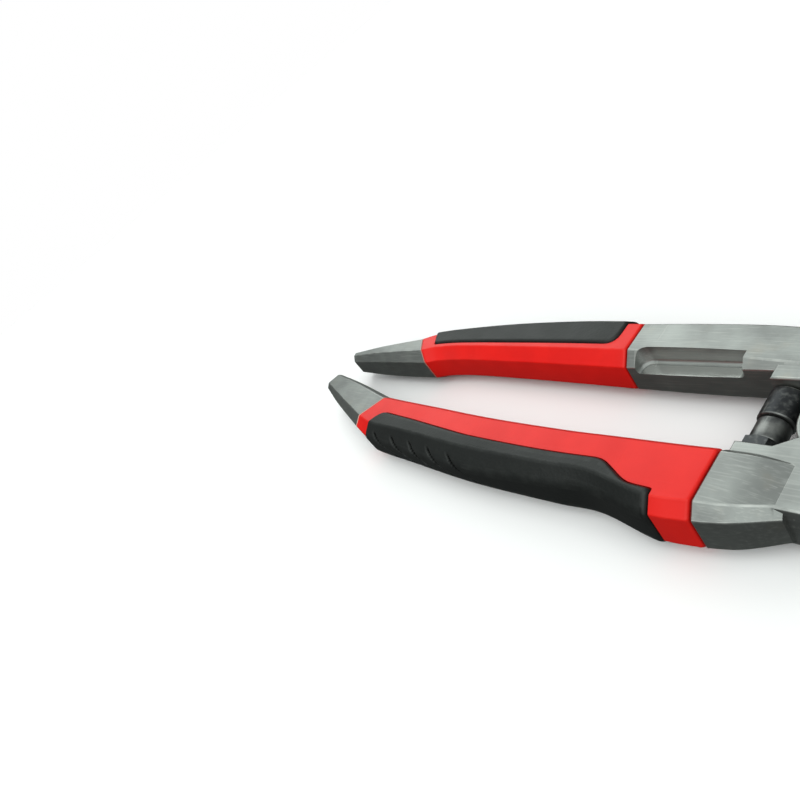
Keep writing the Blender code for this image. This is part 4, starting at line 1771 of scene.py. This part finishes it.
@dataclass
class JawPair:
    """Two lapped cutting jaws."""

    reach: float = 27.5
    nose: float = 1.6
    nose_rise: float = 1.8
    nose_lean: float = 0.6
    nose_width: float = 4.4
    cheek: float = 6.0
    cheek_bulge: float = 0.4
    back: float = 12.7
    back_ends: Pair = (8.0, -3.0)
    heel: float = 12.0
    heel_rise: float = 2.4
    back_round: float = 5.0
    crotch: Pair = (18.0, 6.8)
    tongue_turns: Pair = (80.0, 270.0)
    boss_turns: Pair = (155.0, 362.0)
    edge_ease: float = 0.4
    boss: float = 10.5
    shank: float = 4.0
    edge_gap: float = 0.15
    edge_land: float = 0.5
    bevel_width: float = 3.8
    bevel_brow: float = 0.6
    bevel_setback: float = 2.5
    land_slack: float = 0.1
    bevel_slack: float = 1.5
    bevel_slants: Pair = (0.2, 0.97)

    def build(self, bench: Bench, finish: Finish) -> None:
        """Builds both jaws."""
        for side, body in ((-1, "lower_jaw"), (1, "upper_jaw")):
            self.build_jaw(bench, side, body, finish)

    def build_jaw(self, bench: Bench, side: int, body: str, finish: Finish) -> Piece:
        """One jaw.

        Args:
            bench: where it is made.
            side: which side of the centre line it lies on.
            body: the CAD body it rides on.
            finish: its surface.

        Returns:
            The jaw.
        """
        bolt, toggle = FITS.jaw_bolt, FITS.toggle
        tip = bolt + self.reach
        outline = [(tip, self.edge_gap), (tip + self.nose, self.edge_gap + self.nose_rise)]
        back = [
            (tip + self.nose - self.nose_lean, self.nose_width),
            (tip - self.cheek, (self.nose_width + self.back) / 2 + self.cheek_bulge),
            *((bolt + place, self.back) for place in self.back_ends),
            (bolt - self.heel, self.back + self.heel_rise),
        ]
        outline += rounded(back, self.back_round, 6, closed=False)
        outline += arc(toggle, FITS.tongue_boss, *self.tongue_turns)
        outline += [(bolt - self.crotch[0], self.crotch[1])]
        outline += arc((bolt, 0.0), self.boss, *self.boss_turns)
        half = FITS.jaw_half
        jaw = bench.raw(f"{body}_steel", plate(outline, -half, half, self.edge_ease, side))
        lap = sorted((-side * FITS.lap_gap, side * 2 * half))
        eye = (toggle[0], toggle[1] * side)
        cuts = [disc((bolt, 0.0), self.boss + FITS.swing, *lap)]
        for low, high in ((FITS.tongue_half, 2 * half), (-2 * half, -FITS.tongue_half)):
            cuts.append(disc(eye, FITS.fork_boss + FITS.swing, low, high))
        cuts.append(disc((bolt, 0.0), self.shank + FITS.seam, -2 * half, 2 * half))
        cuts.append(disc(eye, FITS.toggle_shank + FITS.seam, -2 * half, 2 * half, 6.0))
        cuts += [self.bevel(side, facing) for facing in (-1, 1)]
        bench.carve(jaw, cuts)
        level = -side * FITS.lap_gap
        mark_machined(
            jaw,
            bench,
            lambda middle, normal: self.is_ground(middle, normal) or lies_at(middle, normal, level),
        )
        return bench.deliver(jaw, body, finish, f"{body}_blade")

    def bevel(self, side: int, facing: int) -> Solid:
        """The wedge that leaves a cutting edge.

        Args:
            side: the jaw's side of the centre line.
            facing: 1 for the upper bevel, -1 for the lower one.

        Returns:
            The solid to cut away.
        """
        start = FITS.jaw_bolt + self.boss + self.bevel_setback
        end = FITS.jaw_bolt + self.reach + 2 * self.nose
        above, past = 2 * FITS.jaw_half, -OVERCUT
        section = (
            (past, self.edge_land / 4),
            (self.edge_gap, self.edge_land),
            (self.bevel_width, FITS.jaw_half - self.bevel_brow),
            (self.bevel_width + above / 4, above),
            (past, above),
        )
        return loft([[(x, u * side, z * facing) for u, z in section] for x in (start, end)])

    def is_ground(self, middle: Vector, normal: Vector) -> bool:
        """Tells the ground bevels and the cutting land from the rest of a jaw.

        Args:
            middle: a face's drafted middle.
            normal: its normal.

        Returns:
            Whether the face is one of them.
        """
        gentlest, steepest = self.bevel_slants
        from_edge = abs(middle.y)
        land = from_edge < self.edge_gap + self.land_slack
        bevel = from_edge < self.bevel_width + self.bevel_slack
        bevel = bevel and gentlest < abs(normal.z) < steepest
        return middle.x > FITS.jaw_bolt + self.boss and (land or bevel)


# ---------------------------------------------------------------- fasteners


@dataclass(frozen=True)
class StopSizes:
    """The adjustable stop between the handles."""

    shank: float = 2.5
    setback: float = 16.6
    face: float = 8.2
    nut_height: float = 2.6
    nut_flats: float = 7.4
    head: float = 3.2
    depth: float = 8.0
    anvil: float = 3.6
    stem: float = 2.0
    meets: float = 0.6
    steps: int = 48

    def build(self, bench: Bench, finish: Finish) -> None:
        """Builds the screw, its lock nut and the anvil.

        Args:
            bench: where they are made.
            finish: their surface.
        """
        seam = FITS.seam
        seat, deep, tip = self.face - seam, self.face + self.depth, seam - self.meets
        nut_face = seat - self.nut_height
        under = seam - nut_face
        screw = (
            (0.0, -deep), (self.shank, -deep), (self.shank, under), (self.head, under),
            (self.head, -tip), (0.0, -tip),
        )
        anvil = (
            (0.0, self.meets), (self.anvil, self.meets), (self.anvil, seat),
            (self.stem, seat), (self.stem, deep), (0.0, deep),
        )
        nut = nut_turning(self.nut_flats, self.shank + seam, seam - self.face, -nut_face)
        for name, turning, body, node in (
            ("stop_screw_steel", Turning(screw, steps=self.steps), "lower_handle", "stop_screw"),
            ("stop_nut_steel", nut, "lower_handle", "stop_lock_nut"),
            ("stop_anvil_steel", Turning(anvil, steps=self.steps), "upper_handle", "stop_anvil"),
        ):
            place = (-self.setback, 0.0, 0.0)
            turning.build(bench, name, body, node, place, finish, upright=False)


def nut_turning(flats: float, bore: float, low: float, high: float) -> Turning:
    """A chamfered hexagonal nut.

    Args:
        flats: across its flats.
        bore: its bore's radius.
        low: its lower face.
        high: its upper face.

    Returns:
        The nut as a turned ring cut to a hexagon.
    """
    lead, spare, steepness = 0.35, 0.1, 0.62
    corner = flats / math.sqrt(3.0)
    slope = (corner - flats / 2) * steepness
    rim, blank = flats / 2 - spare, corner + spare
    rows = (
        (bore, low + lead), (bore + lead, low), (rim, low), (blank, low + slope),
        (blank, high - slope), (rim, high), (bore + lead, high), (bore, high - lead),
    )
    prism = (low - OVERCUT, high + OVERCUT)
    return Turning(rows, closed=True, ease=0.0, use=PrismUse.FLATS, corner=corner, prism=prism)


@dataclass(frozen=True)
class BoltSizes:
    """A bolt with a low round head and a hexagon socket, and its nut."""

    name: str
    body: str
    centre: Pair
    seat: float
    shank: float
    head: float
    top: float
    nut_flats: float
    socket_share: float = 0.72
    socket_depth: float = 1.2
    hollow: float = 0.25
    point: float = 0.45
    point_lip: float = 0.1
    crown: Pair = (0.75, 0.5)
    dish_rim: float = 0.9
    dish_run: float = 0.4
    dish_depth: float = 0.18
    ease: float = 0.2
    steps: int = 96

    def build(self, bench: Bench, finish: Finish) -> None:
        """Builds the bolt and its nut.

        Args:
            bench: where they are made.
            finish: their surface.
        """
        foot, under = -FITS.rest, self.seat + FITS.seam
        socket = self.shank * self.socket_share
        lip, dish = self.shank - self.point, socket + self.dish_rim
        dish_floor = self.top - self.dish_depth
        rows = (
            (0.0, foot + self.hollow), (lip - self.point_lip, foot + self.hollow), (lip, foot),
            (self.shank, foot + self.point), (self.shank, under), (self.head, under),
            (self.head, self.top - self.crown[1]), (self.head - self.crown[0], self.top),
            (dish, self.top), (dish - self.dish_run, dish_floor), (0.0, dish_floor),
        )
        turning = Turning(
            rows, ease=self.ease, use=PrismUse.SOCKET, corner=socket,
            prism=(self.top - self.socket_depth, self.top + OVERCUT), steps=self.steps,
        )
        nut = nut_turning(self.nut_flats, self.shank + FITS.seam, foot, -self.seat - FITS.seam)
        for node, turned in ((f"{self.name}_bolt", turning), (f"{self.name}_nut", nut)):
            turned.build(bench, f"{node}_steel", self.body, node, (*self.centre, 0.0), finish)


@dataclass
class Linkage:
    """The four bolts with their nuts, and the jaw bolt's two washers."""

    washer_rim: float = 8.6
    washer: float = 0.9
    washer_ease: float = 0.22
    washer_steps: int = 96
    pivot_head: float = 7.4
    pivot_flats: float = 13.0
    toggle_head: float = 5.2
    toggle_rise: float = 2.1
    toggle_flats: float = 9.0
    jaw_shank: float = 4.0
    jaw_head: float = 6.8
    jaw_flats: float = 12.0

    def bolts(self) -> list[BoltSizes]:
        """Lists the bolts.

        Returns:
            Each one's sizes.
        """
        seat, (ahead, out) = FITS.head_half, FITS.toggle
        jaw_seat = FITS.jaw_half + FITS.seam + self.washer
        top = seat + FITS.seam + self.toggle_rise
        # seat, shank, head, top and nut flats
        pivot = (seat, FITS.pivot_shank, self.pivot_head, FITS.rest, self.pivot_flats)
        toggle = (seat, FITS.toggle_shank, self.toggle_head, top, self.toggle_flats)
        jaw = (jaw_seat, self.jaw_shank, self.jaw_head, FITS.rest, self.jaw_flats)
        return [
            BoltSizes("handle_pivot", "lower_handle", (0.0, 0.0), *pivot),
            BoltSizes("lower_toggle", "lower_handle", (ahead, -out), *toggle),
            BoltSizes("upper_toggle", "upper_handle", (ahead, out), *toggle),
            BoltSizes("jaw", "lower_jaw", (FITS.jaw_bolt, 0.0), *jaw),
        ]

    def build(self, bench: Bench, bolt_finish: Finish, washer_finish: Finish) -> None:
        """Builds the linkage.

        Args:
            bench: where it is made.
            bolt_finish: the bolts' and nuts' surface.
            washer_finish: the washers' surface.
        """
        for bolt in self.bolts():
            bolt.build(bench, bolt_finish)
        bore, rim = self.jaw_shank + FITS.seam, self.washer_rim
        seat = FITS.jaw_half + FITS.seam
        for name, low in (("top", seat), ("bottom", -seat - self.washer)):
            high = low + self.washer
            rows = ((bore, low), (rim, low), (rim, high), (bore, high))
            turning = Turning(rows, closed=True, ease=self.washer_ease, steps=self.washer_steps)
            piece, node, place = f"washer_{name}_steel", f"jaw_washer_{name}", (FITS.jaw_bolt, 0.0, 0.0)
            turning.build(bench, piece, "lower_jaw", node, place, washer_finish)


# ---------------------------------------------------------------- the studio


@dataclass
class Studio:
    """Plain pale floor, soft light and the camera."""

    eye: Triple = (0.1036, -0.0792, 0.1080)
    line_of_sight: Triple = (0.8293, -0.3290, 0.4516)
    head_up: Triple = (-0.0817, 0.7282, 0.6805)
    lens: float = 27.9
    nearest: float = 0.01
    floor_span: float = 30.0
    floor_sink: float = 0.05
    floor_colours: tuple[Triple, Triple] = ((0.97, 0.93, 0.95), (0.95, 0.91, 0.93))
    floor_cloud: Pair = (6.0, 3.0)
    floor_roughness: float = 0.85
    key_way: Triple = (0.30, -0.50, 0.80)
    key_spread: float = 105.0
    key_power: float = 2.7
    back_way: Triple = (-0.60, 0.48, 0.64)
    back_spread: float = 50.0
    back_power: float = 1.0
    zenith: float = 0.36
    horizon: float = 0.10
    glow_heights: Pair = (0.05, 0.85)
    sky: Triple = (0.93, 1.0, 0.965)

    def build(self) -> None:
        """Builds the studio."""
        self.build_floor()
        self.build_light("key_light", self.key_way, self.key_spread, self.key_power)
        self.build_light("back_light", self.back_way, self.back_spread, self.back_power)
        self.build_world()
        self.build_camera()

    def build_floor(self) -> None:
        """A pale matt floor, a hair below the pieces that stand on it."""
        bm = bmesh.new()
        under = Matrix.Translation((0.0, 0.0, -self.floor_sink * MM))
        bmesh.ops.create_grid(bm, x_segments=2, y_segments=2, size=self.floor_span / 2, matrix=under)
        mesh = bpy.data.meshes.new("studio_floor")
        bm.to_mesh(mesh)
        bm.free()
        floor = linked("studio_floor", mesh)
        material = bpy.data.materials.new("pale_floor")
        tree = emptied(material)
        cloud = tree.noise(tree.node("ShaderNodeTexCoord", out="Object"), *self.floor_cloud)
        colour = tree.blend(cloud, *self.floor_colours)
        values = {"Base Color": colour, "Roughness": self.floor_roughness}
        shader = tree.node("ShaderNodeBsdfPrincipled", values)
        tree.close_with("ShaderNodeOutputMaterial", shader)
        mesh.materials.append(material)
        floor.visible_glossy = floor.visible_diffuse = False

    def build_light(self, name: str, way: Triple, spread: float, power: float) -> None:
        """A far soft light.

        Args:
            name: the light's name.
            way: the direction it comes from.
            spread: how wide it looks, in degrees.
            power: in watts per square metre.
        """
        light = bpy.data.lights.new(name, "SUN")
        light.angle = math.radians(spread)
        light.energy = power
        light.color = self.sky
        made = linked(name, light)
        made.location = way
        made.rotation_euler = (-Vector(way)).to_track_quat("-Z", "Y").to_euler()

    def build_world(self) -> None:
        """Soft surroundings, bright overhead and dim at the horizon, behind a white backdrop."""
        world = bpy.data.worlds.new("studio_air")
        tree = emptied(world)
        way = tree.node("ShaderNodeTexCoord", out="Generated")
        height = tree.node("ShaderNodeSeparateXYZ", {0: way}, out="Z")
        glow = tree.ramp(height, *self.glow_heights, self.horizon, self.zenith)
        seen = tree.node("ShaderNodeLightPath", out="Is Camera Ray")
        glow = glow * (1.0 - seen) + seen
        tint = tree.blend(seen, self.sky, (1.0, 1.0, 1.0))
        backdrop = tree.node("ShaderNodeBackground", {"Color": tint, "Strength": glow})
        tree.close_with("ShaderNodeOutputWorld", backdrop)
        bpy.context.scene.world = world
        bpy.context.scene.view_settings.view_transform = "Standard"

    def build_camera(self) -> None:
        """The camera, on the line of sight that shows both handles from the near side."""
        camera = bpy.data.cameras.new("camera")
        camera.lens = self.lens
        camera.clip_start = self.nearest
        made = linked("camera", camera)
        back = Vector(self.line_of_sight).normalized()
        right = Vector(self.head_up).cross(back).normalized()
        up = back.cross(right)
        turn = Matrix((right, up, back)).transposed().to_4x4()
        made.matrix_world = Matrix.Translation(self.eye) @ turn
        bpy.context.scene.camera = made


# ---------------------------------------------------------------- the tool


def lower_handle() -> Handle:
    """Drafts the lower handle.

    Returns:
        Its sizes.
    """
    half = FITS.grip_half
    # share, skew, inner, outer, half, inner chamfer and outer chamfer
    neck = (
        Station(0.00, 2.0, 1.8, 6.6, 4.8, 1.0, 1.6),
        Station(0.45, 4.5, 6.2, 13.0, 6.4, 1.2, 2.4),
        Station(1.00, 6.0, 11.9, 20.9, 7.0, 1.5, 2.9),
    )
    grip = (
        Station(0.00, 6.0, 11.9, 20.9, half, 1.5, 2.9),
        Station(0.075, 6.0, 12.3, 22.6, half, 1.5, 3.5),
        Station(0.24, 3.0, 12.9, 23.0, half, 1.5, 4.3),
        Station(0.47, 1.0, 13.8, 23.9, half, 1.5, 4.2),
        Station(0.70, 0.0, 13.8, 23.4, half, 1.5, 3.2),
        Station(0.80, 0.0, 13.4, 22.8, half, 1.5, 2.8),
        Station(0.93, 0.0, 12.9, 25.4, half, 1.5, 2.8),
        Station(1.00, 0.0, 12.5, 24.6, half, 1.5, 2.8),
    )
    shoulder = (
        Station(0.00, 0.0, 12.5, 24.6, 7.0, 1.5, 2.8),
        Station(0.45, 0.0, 12.0, 23.4, 6.4, 1.4, 2.4),
        Station(1.00, 0.0, 11.8, 20.4, 5.0, 1.2, 1.8),
    )
    split = ((0.0, 5.2), (0.2, 5.6), (0.45, 6.5), (0.65, 6.4), (0.82, 6.0), (0.885, 10.8), (1.0, 11.4))
    pad = PadShape((0.075, 0.935), split, 3.6, 0.7)
    stations = (neck, grip, shoulder)
    return Handle("lower", -1, "lower_handle", 48.6, 121.4, stations, pad, GrooveShape())


def upper_handle() -> Handle:
    """Drafts the upper handle.

    Returns:
        Its sizes.
    """
    half = FITS.grip_half
    # share, skew, inner, outer, half, inner chamfer and outer chamfer
    neck = (
        Station(0.00, 0.6, 9.2, 10.9, 4.8, 1.8, 1.4),
        Station(0.45, 2.0, 10.2, 13.6, 6.4, 2.6, 2.2),
        Station(1.00, 4.6, 11.6, 17.3, 7.0, 3.2, 3.0),
    )
    grip = (
        Station(0.00, 4.6, 11.6, 17.3, half, 3.2, 3.0),
        Station(0.08, 4.0, 13.2, 19.7, half, 3.3, 3.4),
        Station(0.23, 3.5, 14.2, 21.4, half, 3.3, 3.6),
        Station(0.50, 2.5, 14.3, 23.1, half, 3.3, 3.6),
        Station(0.76, 0.0, 14.1, 23.5, half, 3.3, 3.6),
        Station(1.00, 0.0, 13.7, 22.8, half, 3.3, 3.4),
    )
    shoulder = (
        Station(0.00, 0.0, 13.7, 22.8, 7.0, 3.3, 3.4),
        Station(0.35, 0.0, 13.3, 22.6, 6.8, 2.8, 3.0),
        Station(0.70, 0.0, 12.6, 22.4, 5.9, 1.6, 2.6),
        Station(1.00, 0.0, 11.8, 20.4, 5.0, 1.2, 1.8),
    )
    pad = PadShape((0.075, 0.95), ((0.0, 1.5), (0.3, 1.5), (1.0, 1.9)), 0.6, 3.4)
    stations = (neck, grip, shoulder)
    return Handle("upper", 1, "upper_handle", 47.5, 87.5, stations, pad, relief=Relief())


def main() -> None:
    """Loads the frame, builds every sub-assembly round it and sets the studio."""
    logging.basicConfig(level=logging.INFO, format="%(name)s: %(message)s")
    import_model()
    low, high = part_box("handle_pivot_bolt")
    bench = Bench((low + high) / 2)
    palette, stop = Palette(), StopSizes()
    Studio().build()
    for handle in (lower_handle(), upper_handle()):
        handle.build_forging(bench, palette.forged, stop)
        handle.build_shell(bench, palette.shell)
        handle.build_highlight_ring(bench, palette.painted_highlight_ring)
        handle.build_pad(bench, palette.pad)
    JawPair().build(bench, palette.ground)
    Linkage().build(bench, palette.oxide, palette.ground)
    stop.build(bench, palette.oxide)


if __name__ == "__main__":
    main()
